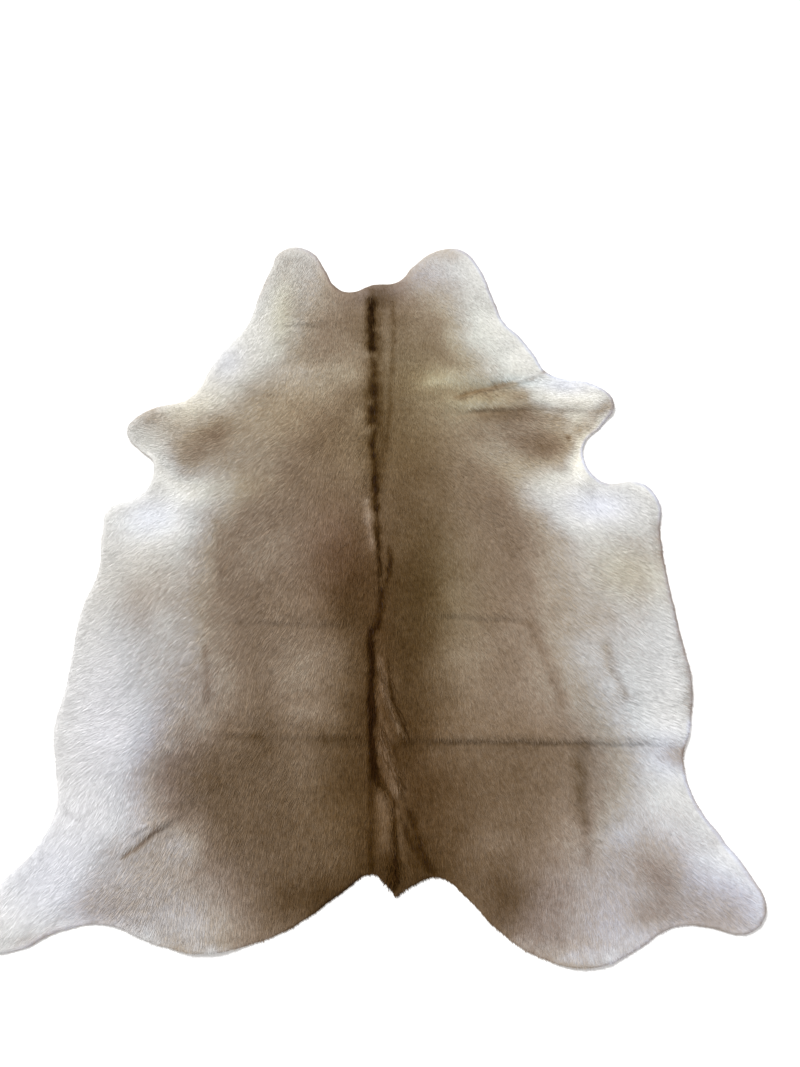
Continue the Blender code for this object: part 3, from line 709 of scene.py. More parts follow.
@dataclass(frozen=True)
class HidePlan:
    """Where the hide's own lines lie in the frame."""

    spine_x: float = 0.0614
    tail_y: float = -0.9543

    def place(self, x: np.ndarray, y: np.ndarray) -> Pair:
        """Turn frame coordinates into (out, along)."""
        return x - self.spine_x, y - self.tail_y

    def point(self, out: np.ndarray, along: np.ndarray) -> Pair:
        """Turn (out, along) into frame coordinates."""
        return out + self.spine_x, along + self.tail_y


@dataclass
class CoatMap:
    """The coat's markings, as tones and hues over the hide, with the painted shade and light that some rows
    of the tables carry.
    """

    pale_tone: float = 0.89
    tone_range: tuple[float, float] = (0.08, 0.96)
    spine_half: float = 0.035
    back_start: float = 0.24
    table_samples: int = 400
    table_blur: int = 41
    drift_out: tuple[SoftNoise, ...] = (SoftNoise(3, 0.11, 0.018), SoftNoise(4, 0.035, 0.008))
    drift_along: tuple[SoftNoise, ...] = (SoftNoise(5, 0.11, 0.018), SoftNoise(6, 0.035, 0.008))
    streak_strength: SoftNoise = SoftNoise(11, 0.020, 0.35)
    streak_stray: SoftNoise = SoftNoise(12, 0.017)
    stray_reach: float = 0.0045
    stray_share: float = 0.4

    def across_tables(self, along: np.ndarray) -> list[np.ndarray]:
        """Read every column of the stations, eased between the rows.

        Args:
            along: Distances from the tail.

        Returns:
            One array for each column after the name and the distance.
        """
        rows = sorted(STATIONS, key=lambda row: row.along)
        keys = np.array([row.along for row in rows])
        fine = np.linspace(keys[0], keys[-1], self.table_samples)
        window = np.hanning(self.table_blur)
        window /= window.sum()
        pad = self.table_blur // 2
        columns = []
        for name in Station._fields[2:]:
            values = np.interp(fine, keys, np.array([getattr(row, name) for row in rows]))
            eased = np.convolve(np.pad(values, pad, mode="edge"), window, mode="valid")
            columns.append(np.interp(along, fine, eased))
        return columns

    def saddle(self, out: np.ndarray, along: np.ndarray) -> np.ndarray:
        """Work out the tone of the brown saddle and the pale flanks round it.

        Args:
            out: Distances from the spine.
            along: Distances from the tail.

        Returns:
            One tone for each place.
        """
        spine, back, left_start, left_end, right_start, right_end = self.across_tables(along)
        side = np.abs(out)
        tone = spine + (back - spine) * soft_step(self.spine_half, self.back_start, side)
        start = np.where(out < 0, left_start, right_start)
        end = np.where(out < 0, left_end, right_end)
        return tone + (self.pale_tone - tone) * soft_step(start, end, side)

    def patches(self, out: np.ndarray, along: np.ndarray) -> np.ndarray:
        """Add up what the soft ovals do to the tone.

        Args:
            out: Distances from the spine.
            along: Distances from the tail.

        Returns:
            One shift of tone for each place.
        """
        total = np.zeros(out.shape)
        for patch in PATCHES:
            total += patch.shift * oval(out, along, patch)
        return total

    def streaks(self, out: np.ndarray, along: np.ndarray) -> np.ndarray:
        """Add up what the soft lines do to the tone, uneven as hair lies.

        Args:
            out: Distances from the spine.
            along: Distances from the tail.

        Returns:
            One shift of tone for each place.
        """
        uneven = 1.0 + self.streak_strength.at(out, along)
        stray = self.streak_stray.at(out, along)
        total = np.zeros(out.shape)
        for streak in STREAKS:
            gap, _ = route_offset(out, along, streak.route)
            gap = gap + min(self.stray_reach, self.stray_share * streak.half_width) * stray
            total += streak.shift * bell(gap / streak.half_width) * uneven
        return total

    def tone(self, out: np.ndarray, along: np.ndarray) -> np.ndarray:
        """Work out the whole tone of the coat, from 0, black, to 1, white.

        Args:
            out: Distances from the spine.
            along: Distances from the tail.

        Returns:
            One tone for each place.
        """
        drifted_out = out + noise_sum(self.drift_out, out, along)
        drifted_along = along + noise_sum(self.drift_along, out, along)
        base = self.saddle(drifted_out, drifted_along) + self.patches(drifted_out, drifted_along)
        return np.clip(base + self.streaks(out, along), *self.tone_range)

    def hue(self, out: np.ndarray, along: np.ndarray) -> Pair:
        """Work out how warm and how ruddy the coat is, each from -1 to 1.

        Args:
            out: Distances from the spine.
            along: Distances from the tail.

        Returns:
            The warmth and the ruddiness of each place.
        """
        warmth = np.zeros(out.shape)
        ruddiness = np.zeros(out.shape)
        for tint in TINTS:
            near = oval(out, along, tint)
            warmth += tint.warmth * near
            ruddiness += tint.ruddiness * near
        return np.clip(warmth, -1.0, 1.0), np.clip(ruddiness, -1.0, 1.0)


@dataclass
class HairLay:
    """The way the hair lies and how long it is, over the whole hide."""

    sway: SoftNoise = SoftNoise(21, 0.13, math.radians(13.0))
    ruffle: SoftNoise = SoftNoise(22, 0.035, math.radians(7.0))
    guide_softness: float = 0.15
    parting_half: float = 0.05

    def read(self, out: np.ndarray, along: np.ndarray) -> tuple[np.ndarray, np.ndarray, np.ndarray]:
        """Blend the guides near each place.

        Args:
            out: Distances from the spine.
            along: Distances from the tail.

        Returns:
            The two parts of the hair's level direction, and its share of full length.
        """
        side = np.abs(out)
        mirror = np.where(out < 0, -1.0, 1.0)
        pull_out = np.zeros(out.shape)
        pull_along = np.zeros(out.shape)
        length = np.zeros(out.shape)
        weight = np.full(out.shape, TINY)
        for guide in LAY_GUIDES:
            gap = np.hypot(side - guide.out, along - guide.along) / guide.reach
            share = 1.0 / (self.guide_softness + gap**3)
            heading = math.radians(guide.heading_deg)
            pull_out += share * math.cos(heading)
            pull_along += share * math.sin(heading)
            length += share * guide.length_share
            weight += share
        pull_out *= mirror * soft_step(0.0, self.parting_half, side)
        heading = np.arctan2(pull_along, pull_out)
        heading += self.sway.at(out, along)
        heading += self.ruffle.at(out, along)
        return np.cos(heading), np.sin(heading), length / weight


@dataclass
class HideOutline:
    """The cut edge of the leather, taken from the solid's rim and made uneven."""

    step: float = 0.008
    inset: float = 0.0006
    unevenness: float = 0.0012
    waver: tuple[SoftNoise, ...] = (SoftNoise(31, 0.030), SoftNoise(32, 0.011, 0.6))
    merge: float = 0.00002
    facing_down: float = -0.3
    curve_marks: int = 12
    rim: np.ndarray = field(default_factory=lambda: np.zeros((0, 2)))

    def solid_mesh(self) -> bmesh.types.BMesh:
        """Copy the hide's solid and merge its doubled corners.

        Returns:
            The copy, which the caller frees.
        """
        solid = bmesh.new()
        solid.from_mesh(bpy.data.objects[HIDE_NODE].data)
        bmesh.ops.remove_doubles(solid, verts=solid.verts, dist=self.merge)
        solid.normal_update()
        return solid

    def solid_rim(self) -> np.ndarray:
        """Walk round the edge of the solid's underside.

        Returns:
            The corners, one row each, in anticlockwise order.
        """
        solid = self.solid_mesh()
        down = {face for face in solid.faces if face.normal.z < self.facing_down}
        following: dict[int, list[int]] = {}
        for edge in solid.edges:
            if len([face for face in edge.link_faces if face in down]) == 1:
                first, second = (vertex.index for vertex in edge.verts)
                following.setdefault(first, []).append(second)
                following.setdefault(second, []).append(first)
        solid.verts.ensure_lookup_table()
        start = next(iter(following))
        loop = [start]
        before, here = start, following[start][0]
        while here != start:
            loop.append(here)
            ahead = [index for index in following[here] if index != before]
            before, here = here, ahead[0]
        corners = np.array([solid.verts[index].co.xy for index in loop])
        solid.free()
        return corners if loop_area(corners) > 0 else corners[::-1]

    def smooth_loop(self, corners: np.ndarray) -> np.ndarray:
        """Run a smooth closed line through corners and mark it off in even steps.

        Args:
            corners: The corners, in order.

        Returns:
            The marks, in order.
        """
        shares = np.linspace(0.0, 1.0, self.curve_marks, endpoint=False)[:, None, None]
        back = np.roll(corners, 1, axis=0)[None]
        here = corners[None]
        ahead = np.roll(corners, -1, axis=0)[None]
        beyond = np.roll(corners, -2, axis=0)[None]
        line = 0.5 * (
            2.0 * here
            + (ahead - back) * shares
            + (2.0 * back - 5.0 * here + 4.0 * ahead - beyond) * shares**2
            + (3.0 * here - back - 3.0 * ahead + beyond) * shares**3
        )
        line = line.transpose(1, 0, 2).reshape(-1, 2)
        closed = np.vstack([line, line[:1]])
        run = np.concatenate([[0.0], np.cumsum(np.linalg.norm(np.diff(closed, axis=0), axis=1))])
        marks = np.linspace(0.0, run[-1], int(run[-1] / self.step), endpoint=False)
        return np.column_stack([np.interp(marks, run, closed[:, axis]) for axis in (0, 1)])

    def build(self) -> None:
        """Make the leather's rim, a little inside the reach of the hair."""
        rim = self.smooth_loop(self.solid_rim())
        tangent = np.roll(rim, -1, axis=0) - np.roll(rim, 1, axis=0)
        tangent /= np.linalg.norm(tangent, axis=1)[:, None]
        inward = np.column_stack([-tangent[:, 1], tangent[:, 0]])
        depth = self.inset + self.unevenness * noise_sum(self.waver, *rim.T)
        self.rim = rim + inward * depth[:, None]

    def gap(self, points: np.ndarray) -> np.ndarray:
        """Measure how far points lie from the rim, positive inside.

        Args:
            points: The points, one row each.

        Returns:
            One distance for each point.
        """
        inside = np.zeros(len(points), bool)
        nearest = np.full(len(points), np.inf)
        for start, end in zip(self.rim, np.roll(self.rim, -1, axis=0)):
            leg = end - start
            aside = points - start
            foot = np.clip((aside @ leg) / (leg @ leg), 0.0, 1.0)
            offset = aside - foot[:, None] * leg
            np.minimum(nearest, np.einsum("ij,ij->i", offset, offset), out=nearest)
            if start[1] != end[1]:
                spans = (start[1] > points[:, 1]) != (end[1] > points[:, 1])
                crossing = start[0] + (points[:, 1] - start[1]) * leg[0] / leg[1]
                inside ^= spans & (points[:, 0] < crossing)
        distance = np.sqrt(nearest)
        return np.where(inside, distance, -distance)


@dataclass
class HideRelief:
    """How high the leather stands off the floor, from the solid and the creases."""

    plan: HidePlan
    cell: float = 0.012
    blur_cells: int = 5
    spread_rounds: int = 3
    least_cover: float = 0.001
    ray_start: float = -0.05
    ripple: float = 0.0007
    ripples: tuple[SoftNoise, ...] = (SoftNoise(43, 0.060), SoftNoise(44, 0.024, 0.5))
    crease_strength: SoftNoise = SoftNoise(41, 0.045, 0.4)
    crease_stray: SoftNoise = SoftNoise(42, 0.055, 0.0035)
    crease_end: float = 0.18
    low: np.ndarray = field(default_factory=lambda: np.zeros(2))
    raster: np.ndarray = field(default_factory=lambda: np.zeros((1, 1)))

    def blur(self, raster: np.ndarray) -> np.ndarray:
        """Soften a raster with a hump of a few cells, both ways.

        Args:
            raster: The numbers, by row and column.

        Returns:
            The softened numbers.
        """
        window = np.hanning(self.blur_cells + 2)[1:-1]
        window /= window.sum()
        pad = self.blur_cells // 2
        for axis in (0, 1):
            widths = [(0, 0), (0, 0)]
            widths[axis] = (pad, pad)
            padded = np.pad(raster, widths)
            raster = np.apply_along_axis(lambda line: np.convolve(line, window, mode="valid"), axis, padded)
        return raster

    def read_solid(self, outline: HideOutline) -> None:
        """Sample the solid's underside on a raster and soften its facets.

        Args:
            outline: What gives the merged solid.
        """
        solid = outline.solid_mesh()
        tree = BVHTree.FromBMesh(solid)
        solid.free()
        low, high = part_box(HIDE_NODE)
        self.low = np.array(low.xy)
        counts = np.ceil((np.array(high.xy) - self.low) / self.cell).astype(int) + 1
        heights = np.zeros((counts[1], counts[0]))
        known = np.zeros_like(heights)
        upwards = Vector((0.0, 0.0, 1.0))
        for row, column in np.ndindex(heights.shape):
            x, y = self.low + np.array((column, row)) * self.cell
            hit = tree.ray_cast(Vector((x, y, self.ray_start)), upwards)[0]
            if hit is not None:
                heights[row, column] = hit.z
                known[row, column] = 1.0
        filled = heights
        cover = known
        for _ in range(self.spread_rounds):
            soft_heights = self.blur(filled * cover)
            soft_cover = self.blur(cover)
            spread = soft_heights / np.maximum(soft_cover, TINY)
            filled = np.where(known > 0, filled, spread)
            cover = np.maximum(known, (soft_cover > self.least_cover).astype(float))
        self.raster = self.blur(filled)

    def solid_height(self, x: np.ndarray, y: np.ndarray) -> np.ndarray:
        """Read the softened height of the solid's underside.

        Args:
            x: First coordinates in the frame.
            y: Second coordinates in the frame.

        Returns:
            One height for each place.
        """
        column = np.clip((x - self.low[0]) / self.cell, 0, self.raster.shape[1] - LAST_CELL)
        row = np.clip((y - self.low[1]) / self.cell, 0, self.raster.shape[0] - LAST_CELL)
        left = column.astype(int)
        bottom = row.astype(int)
        rows = (bottom, bottom + 1)
        columns = (left, left + 1)
        return blend_cells(self.raster, rows, columns, row - bottom, column - left)

    def crease_gap(self, out: np.ndarray, along: np.ndarray) -> np.ndarray:
        """Return the distance to the nearest crease."""
        return np.min([np.abs(route_offset(out, along, crease.route)[0]) for crease in CREASES], axis=0)

    def crease_height(self, out: np.ndarray, along: np.ndarray) -> np.ndarray:
        """Add up the creases, each uneven along its way.

        Args:
            out: Distances from the spine.
            along: Distances from the tail.

        Returns:
            One height for each place, below 0 in a trough.
        """
        uneven = 1.0 + self.crease_strength.at(out, along)
        stray = self.crease_stray.at(out, along)
        total = np.zeros(out.shape)
        for crease in CREASES:
            gap, share = route_offset(out, along, crease.route)
            gap = gap + stray
            slope = np.where(gap > 0, crease.left_slope, crease.right_slope)
            ends = soft_step(0.0, self.crease_end, share) * soft_step(0.0, self.crease_end, 1.0 - share)
            total += crease.height * bell(gap / slope) * ends * uneven
        return total

    def height(self, x: np.ndarray, y: np.ndarray) -> np.ndarray:
        """Work out the height of the leather's underside, creases and ripples with it.

        Args:
            x: First coordinates in the frame.
            y: Second coordinates in the frame.

        Returns:
            One height for each place.
        """
        creases = self.crease_height(*self.plan.place(x, y))
        rise = self.solid_height(x, y) + creases + self.ripple * noise_sum(self.ripples, x, y)
        return np.maximum(rise, 0.0)


def add_object(name: str, data: bpy.types.ID) -> bpy.types.Object:
    """Put a mesh, lamp or camera into the scene as an object.

    Args:
        name: The object's name.
        data: The mesh, lamp or camera.

    Returns:
        The object.
    """
    obj = bpy.data.objects.new(name, data)
    bpy.context.scene.collection.objects.link(obj)
    return obj


def point_places(mesh: bpy.types.Mesh) -> np.ndarray:
    """Read the places of a mesh's points.

    Args:
        mesh: The mesh.

    Returns:
        The places, one row each.
    """
    places = np.zeros(len(mesh.vertices) * 3, np.float32)
    mesh.vertices.foreach_get("co", places)
    return places.reshape(-1, 3)


def write_points(mesh: bpy.types.Mesh, values: dict[str, np.ndarray]) -> None:
    """Give every point of a mesh named numbers or triples.

    Args:
        mesh: The mesh.
        values: One number or triple for each point, by the attribute's name.
    """
    for name, numbers in values.items():
        single = numbers.size == len(mesh.vertices)
        attribute = mesh.attributes.new(name, "FLOAT" if single else "FLOAT_VECTOR", "POINT")
        attribute.data.foreach_set("value" if single else "vector", numbers.astype(np.float32).ravel())


@dataclass
class HideSheet:
    """The tanned leather: one thin closed sheet with a hair, a flesh and a cut side."""

    plan: HidePlan
    outline: HideOutline
    relief: HideRelief
    coat: CoatMap
    lay: HairLay
    thickness: float = 0.0024
    hair_grid: float = 0.009
    close_grid: float = 0.0045
    spine_reach: float = 0.045
    crease_reach: float = 0.018
    flesh_grid: float = 0.015
    rim_clearance: float = 0.004
    rim_length_share: float = 0.30
    rim_length_reach: float = 0.03
    # Painted shade: the tone is lowered a little all round the rim. Where the rim faces right, away from the
    # key light, it is lowered much more and cooled towards grey.
    rim_painted_shade: float = 0.02
    rim_painted_shade_reach: float = 0.012
    right_rim_painted_shade: float = 0.14
    right_rim_painted_shade_coolness: float = 2.0
    rim_probe: float = 0.004
    map_fill: float = 0.98
    map_margin: float = 0.01
    flat: tuple[float, float] = (1.91, 2.26)

    def grid(self, step: float) -> np.ndarray:
        """Lay staggered points over the box of the rim.

        Args:
            step: How far apart they are.

        Returns:
            The points, one row each.
        """
        low = self.outline.rim.min(axis=0)
        high = self.outline.rim.max(axis=0)
        rows = np.arange(low[1], high[1], step * math.sqrt(0.75))
        columns = np.arange(low[0], high[0], step)
        x, y = np.meshgrid(columns, rows)
        x = x + 0.5 * step * (np.arange(len(rows)) % 2)[:, None]
        return np.column_stack([x.ravel(), y.ravel()])

    def hair_points(self) -> np.ndarray:
        """Lay the inner points of the hair side, closer together at the spine and the creases.

        Returns:
            The points, one row each.
        """
        kept = []
        for step, wanted in ((self.hair_grid, False), (self.close_grid, True)):
            points = self.grid(step)
            out, along = self.plan.place(*points.T)
            creased = self.relief.crease_gap(out, along) <= self.crease_reach
            close = creased | (np.abs(out) <= self.spine_reach)
            kept.append(points[close == wanted])
        return np.vstack(kept)

    def cover(self, points: np.ndarray) -> Pair:
        """Fill the rim with triangles through the points that lie well inside it.

        Args:
            points: The inner points, some of which may lie outside.

        Returns:
            The places, with the rim's first, and the triangles that join them.
        """
        inner = points[self.outline.gap(points) > self.rim_clearance]
        places = np.vstack([self.outline.rim, inner])
        count = len(self.outline.rim)
        edges = [(index, (index + 1) % count) for index in range(count)]
        result = delaunay_2d_cdt([Vector(place) for place in places], edges, [], FILL_INSIDE, SAME_SPOT)
        made = np.array([spot[:] for spot in result[0]])
        return made, np.array([tuple(face) for face in result[2]])

    def build(self) -> bpy.types.Object:
        """Make the leather's mesh and its attributes.

        Returns:
            The leather as an object.
        """
        rim_count = len(self.outline.rim)
        top, top_faces = self.cover(self.hair_points())
        under, under_faces = self.cover(self.grid(self.flesh_grid))
        if np.abs(top[:rim_count] - under[:rim_count]).max() > RIM_TOLERANCE:
            raise RuntimeError("the two sides of the leather don't share their rim")
        top_z = self.relief.height(*top.T) + self.thickness
        under_z = self.relief.height(*under.T)
        spots = np.vstack([np.column_stack([top, top_z]), np.column_stack([under, under_z])])
        shift = len(top)
        ring = np.arange(rim_count)
        ahead = np.roll(ring, -1)
        wall = np.vstack(
            [
                np.column_stack([ring, ring + shift, ahead + shift]),
                np.column_stack([ring, ahead + shift, ahead]),
            ]
        )
        sides = (top_faces, under_faces[:, ::-1] + shift, wall)
        surfaces = np.concatenate([np.full(len(side), face.value) for side, face in zip(sides, SheetFace)])
        mesh = bpy.data.meshes.new("hide_leather")
        mesh.from_pydata(spots.tolist(), [], np.vstack(sides).tolist())
        mesh.polygons.foreach_set("material_index", surfaces.astype(np.int32))
        mesh.shade_smooth()
        mesh.update()
        self.write_attributes(mesh, spots)
        self.write_map(mesh, surfaces)
        return add_object("hide_leather", mesh)

    def write_attributes(self, mesh: bpy.types.Mesh, spots: np.ndarray) -> None:
        """Give every point the coat's tone, hue, length and lay; the tone and hue carry painted shade along
        the rim.

        Args:
            mesh: The leather's mesh.
            spots: Its points.
        """
        out, along = self.plan.place(spots[:, 0], spots[:, 1])
        lay_out, lay_along, length = self.lay.read(out, along)
        gap = self.outline.gap(spots[:, :2])
        inner = soft_step(0.0, self.rim_length_reach, gap)
        # Painted shade along the rim: rim is how near the rim a point is, and right is how much of that rim
        # faces right, away from the key light.
        rim = 1.0 - soft_step(0.0, self.rim_painted_shade_reach, gap)
        beside = self.outline.gap(spots[:, :2] + np.array([self.rim_probe, 0.0]))
        right = rim * np.clip((gap - beside) / self.rim_probe, 0.0, 1.0)
        warmth, ruddiness = self.coat.hue(out, along)
        values = {
            "tone": self.coat.tone(out, along) - self.rim_painted_shade * rim - self.right_rim_painted_shade * right,
            "warmth": warmth - self.right_rim_painted_shade_coolness * right,
            "ruddiness": ruddiness,
            "hair_length": length * (self.rim_length_share + (1.0 - self.rim_length_share) * inner),
            "lay": np.column_stack([lay_out, lay_along, np.zeros(len(out))]),
        }
        write_points(mesh, values)

    def write_map(self, mesh: bpy.types.Mesh, surfaces: np.ndarray) -> None:
        """Lay the hair side on the left half of the map and the other sides on the right.

        Args:
            mesh: The leather's mesh.
            surfaces: The surface of each triangle.
        """
        low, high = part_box(HIDE_NODE)
        corners = np.zeros(len(mesh.loops), np.int32)
        mesh.loops.foreach_get("vertex_index", corners)
        x, y, _ = point_places(mesh)[corners].T
        size = max(high.x - low.x, (high.y - low.y) / 2.0)
        u = 0.5 * (x - low.x) / size * self.map_fill + 0.5 * self.map_margin
        v = (y - low.y) / (2.0 * size) * self.map_fill + self.map_margin
        other = np.repeat(surfaces != SheetFace.HAIR.value, 3)
        u = np.where(other, u + 0.5, u)
        layer = mesh.uv_layers.new(name=BAKE_MAP)
        layer.data.foreach_set("uv", np.column_stack([u, v]).astype(np.float32).ravel())


@dataclass
class NodeBench:
    """Adds and links nodes of one tree, with their values."""

    tree: bpy.types.NodeTree
    column: float = 0.0
    spacing: float = 180.0

    def add(self, kind: str, feeds: Feeds | None = None, **settings: object) -> bpy.types.Node:
        """Add a node, set its properties and feed its inputs.

        Args:
            kind: Blender's name of the node type.
            feeds: What feeds its inputs, by their names or numbers.
            **settings: Properties of the node.

        Returns:
            The new node.
        """
        node = self.tree.nodes.new(kind)
        node.location = (self.column, 0.0)
        self.column += self.spacing
        for name, value in settings.items():
            setattr(node, name, value)
        for key, value in (feeds or {}).items():
            self.feed(node.inputs[key], value)
        return node

    def run(self, kind: str, feeds: Feeds | None = None, out: int | str = 0, **settings: object) -> Socket:
        """Add a node and return one of its outputs, by its name or number."""
        return self.add(kind, feeds, **settings).outputs[out]

    def feed(self, target: Socket, value: object) -> None:
        """Link a socket, or set a plain value, on an input.

        Args:
            target: The input.
            value: The socket or the value.
        """
        if isinstance(value, Socket):
            self.tree.links.new(value, target)
        else:
            target.default_value = value

    def math(self, operation: str, *values: object, clamp: bool = False) -> Socket:
        """Add a Math node fed with sockets or numbers, and return its output."""
        return self.run("ShaderNodeMath", dict(enumerate(values)), operation=operation, use_clamp=clamp)

    def vector_math(self, operation: str, *values: object) -> Socket:
        """Add a Vector Math node fed with sockets or triples, and return its vector."""
        return self.run("ShaderNodeVectorMath", dict(enumerate(values)), operation=operation)

    def scale(self, vector: object, factor: object) -> Socket:
        """Lengthen a vector by a factor and return it."""
        return self.run("ShaderNodeVectorMath", {0: vector, "Scale": factor}, operation="SCALE")

    def noise(self, vector: object, grain: Grain) -> Socket:
        """Add a Noise texture and return its value, from 0 to 1."""
        feeds = {"Vector": vector, "Scale": grain.scale, "Detail": grain.detail, "Roughness": grain.roughness}
        return self.run("ShaderNodeTexNoise", feeds, "Fac")

    def blend(self, share: object, low: object, high: object, mode: str = "MIX") -> Socket:
        """Mix two colours by a share and return the result."""
        feeds = {"Factor": share, 6: low, 7: high}
        return self.run("ShaderNodeMix", feeds, 2, data_type="RGBA", blend_type=mode)


@dataclass
class GroupBench(NodeBench):
    """The bench of a new node group, with its input and output nodes."""

    entry: bpy.types.Node = field(init=False)
    leave: bpy.types.Node = field(init=False)

    def __post_init__(self) -> None:
        """Add the group's input and output nodes."""
        self.entry = self.add("NodeGroupInput")
        self.leave = self.add("NodeGroupOutput")

    @classmethod
    def new(
        cls, name: str, kind: str, inputs: Sequence[tuple[str, str, object]], output: tuple[str, str]
    ) -> GroupBench:
        """Make an empty node group with named sockets.

        Args:
            name: The group's name.
            kind: What the nodes of the group are for, "Shader" or "Geometry".
            inputs: The name, type and default value of each input.
            output: The name and type of its output.

        Returns:
            The group's bench.
        """
        tree = bpy.data.node_groups.new(name, f"{kind}NodeTree")
        for label, socket_type, value in inputs:
            socket = tree.interface.new_socket(label, in_out="INPUT", socket_type=f"NodeSocket{socket_type}")
            if value is not None:
                socket.default_value = value
        tree.interface.new_socket(output[0], in_out="OUTPUT", socket_type=f"NodeSocket{output[1]}")
        return cls(tree)

    def given(self, label: str) -> Socket:
        """Return what comes in at one of the group's inputs."""
        return self.entry.outputs[label]

    def give(self, value: Socket) -> bpy.types.NodeTree:
        """Put a value out and return the finished group."""
        self.feed(self.leave.inputs[0], value)
        return self.tree

    def position(self) -> Socket:
        """Return where each point of the geometry is."""
        return self.run("GeometryNodeInputPosition")

    def attribute(self, data_type: str, name: str) -> Socket:
        """Read a named attribute of the geometry."""
        return self.run("GeometryNodeInputNamedAttribute", {"Name": name}, "Attribute", data_type=data_type)

    def chance(self, span: tuple[float, float], draw: LockDraw) -> Socket:
        """Add one of the random draws of a lock, over a span."""
        feeds = {2: span[0], 3: span[1], "Seed": draw.value}
        return self.run("FunctionNodeRandomValue", feeds, 1, data_type="FLOAT")

    def store(
        self, geometry: Socket, data_type: str, name: str, value: object, domain: str = "POINT"
    ) -> Socket:
        """Write a named attribute on a geometry.

        Args:
            geometry: The geometry.
            data_type: Blender's name of the value's type.
            name: The attribute's name.
            value: What feeds it.
            domain: Blender's name of what carries the value.

        Returns:
            The geometry with it.
        """
        feeds = {"Geometry": geometry, "Name": name, "Value": value}
        return self.run("GeometryNodeStoreNamedAttribute", feeds, data_type=data_type, domain=domain)

    def end(self, made: Socket) -> bpy.types.NodeTree:
        """Make a geometry real, map it as seen from above, and give it its finish.

        Args:
            made: The geometry. The group has the inputs of TREE_ENDS.

        Returns:
            The finished group.
        """
        real = self.run("GeometryNodeRealizeInstances", {0: made})
        aside = self.vector_math("SUBTRACT", self.position(), self.given("Map Corner"))
        spot = self.vector_math("MULTIPLY", aside, self.given("Map Scale"))
        mapped = self.store(real, "FLOAT2", BAKE_MAP, spot, "CORNER")
        feeds = {"Geometry": mapped, "Material": self.given("Finish")}
        return self.give(self.run("GeometryNodeSetMaterial", feeds))


def coat_shade_group() -> bpy.types.NodeTree:
    """Build the group that turns a tone, a warmth and a ruddiness into mottled hair colour.

    Returns:
        The group.
    """
    bench = GroupBench.new(
        "coat_shade",
        "Shader",
        (
            ("Tone", "Float", 0.5),
            ("Warmth", "Float", 0.0),
            ("Ruddiness", "Float", 0.0),
            ("Mottle", "Float", 1.0),
            ("Place", "Vector", None),
        ),
        ("Colour", "Color"),
    )
    stir = 0.0
    for mottle in MOTTLES:
        wave = bench.noise(bench.given("Place"), mottle.grain)
        stir = bench.math("MULTIPLY_ADD", bench.math("SUBTRACT", wave, 0.5), mottle.strength, stir)
    stir = bench.math("MULTIPLY", stir, bench.given("Mottle"))
    tone = bench.math("ADD", bench.given("Tone"), stir, clamp=True)
    ramp = bench.add("ShaderNodeValToRGB", {"Fac": tone})
    stops = ramp.color_ramp.elements
    while len(stops) < len(SHADES):
        stops.new(1.0)
    for stop, shade in zip(stops, SHADES):
        stop.position = shade.tone
        stop.color = shade.colour
    colour = ramp.outputs["Color"]
    for label, (low, high) in HUE_DYES.items():
        share = bench.math("MULTIPLY_ADD", bench.given(label), 0.5, 0.5)
        colour = bench.blend(1.0, colour, bench.blend(share, low, high), "MULTIPLY")
    return bench.give(colour)


def fibre_grain_group() -> bpy.types.NodeTree:
    """Build the group of fine unevenness that skin, suede and the cut edge share.

    Returns:
        The group.
    """
    bench = GroupBench.new(
        "fibre_grain",
        "Shader",
        (("Place", "Vector", None), ("Scale", "Float", 600.0), ("Tuft Share", "Float", 0.4)),
        ("Height", "Float"),
    )
    place = bench.scale(bench.given("Place"), bench.given("Scale"))
    feeds = {
        "Factor": bench.given("Tuft Share"),
        2: bench.noise(place, FIBRES),
        3: bench.noise(place, FIBRE_TUFTS),
    }
    return bench.give(bench.run("ShaderNodeMix", feeds, data_type="FLOAT"))


@dataclass
class FinishShelf:
    """The shader groups that the finishes share, each built once."""

    shade: bpy.types.NodeTree = field(default_factory=coat_shade_group)
    grain: bpy.types.NodeTree = field(default_factory=fibre_grain_group)


@dataclass(kw_only=True)
class FinishBench(NodeBench):
    """The bench of one material, with the shared groups and the places on the piece."""

    shelf: FinishShelf
    place: Socket = field(init=False)

    def __post_init__(self) -> None:
        """Read the places on the piece."""
        self.place = self.run("ShaderNodeTexCoord", out="Object")

    def attribute(self, name: str, out: str = "Fac") -> Socket:
        """Read an attribute of the mesh."""
        return self.run("ShaderNodeAttribute", out=out, attribute_name=name)

    def coat_colour(self, tone: object, mottle: float) -> Socket:
        """Colour a surface as the coat is, in the hue that the mesh carries.

        Args:
            tone: The coat's tone.
            mottle: How strongly the coat is mottled.

        Returns:
            The colour.
        """
        feeds = {
            "Tone": tone,
            "Warmth": self.attribute("warmth"),
            "Ruddiness": self.attribute("ruddiness"),
            "Mottle": mottle,
            "Place": self.place,
        }
        return self.run("ShaderNodeGroup", feeds, node_tree=self.shelf.shade)

    def fibres(self, place: object, scale: float) -> Socket:
        """Return the height of a fine grain."""
        return self.run("ShaderNodeGroup", {"Place": place, "Scale": scale}, node_tree=self.shelf.grain)


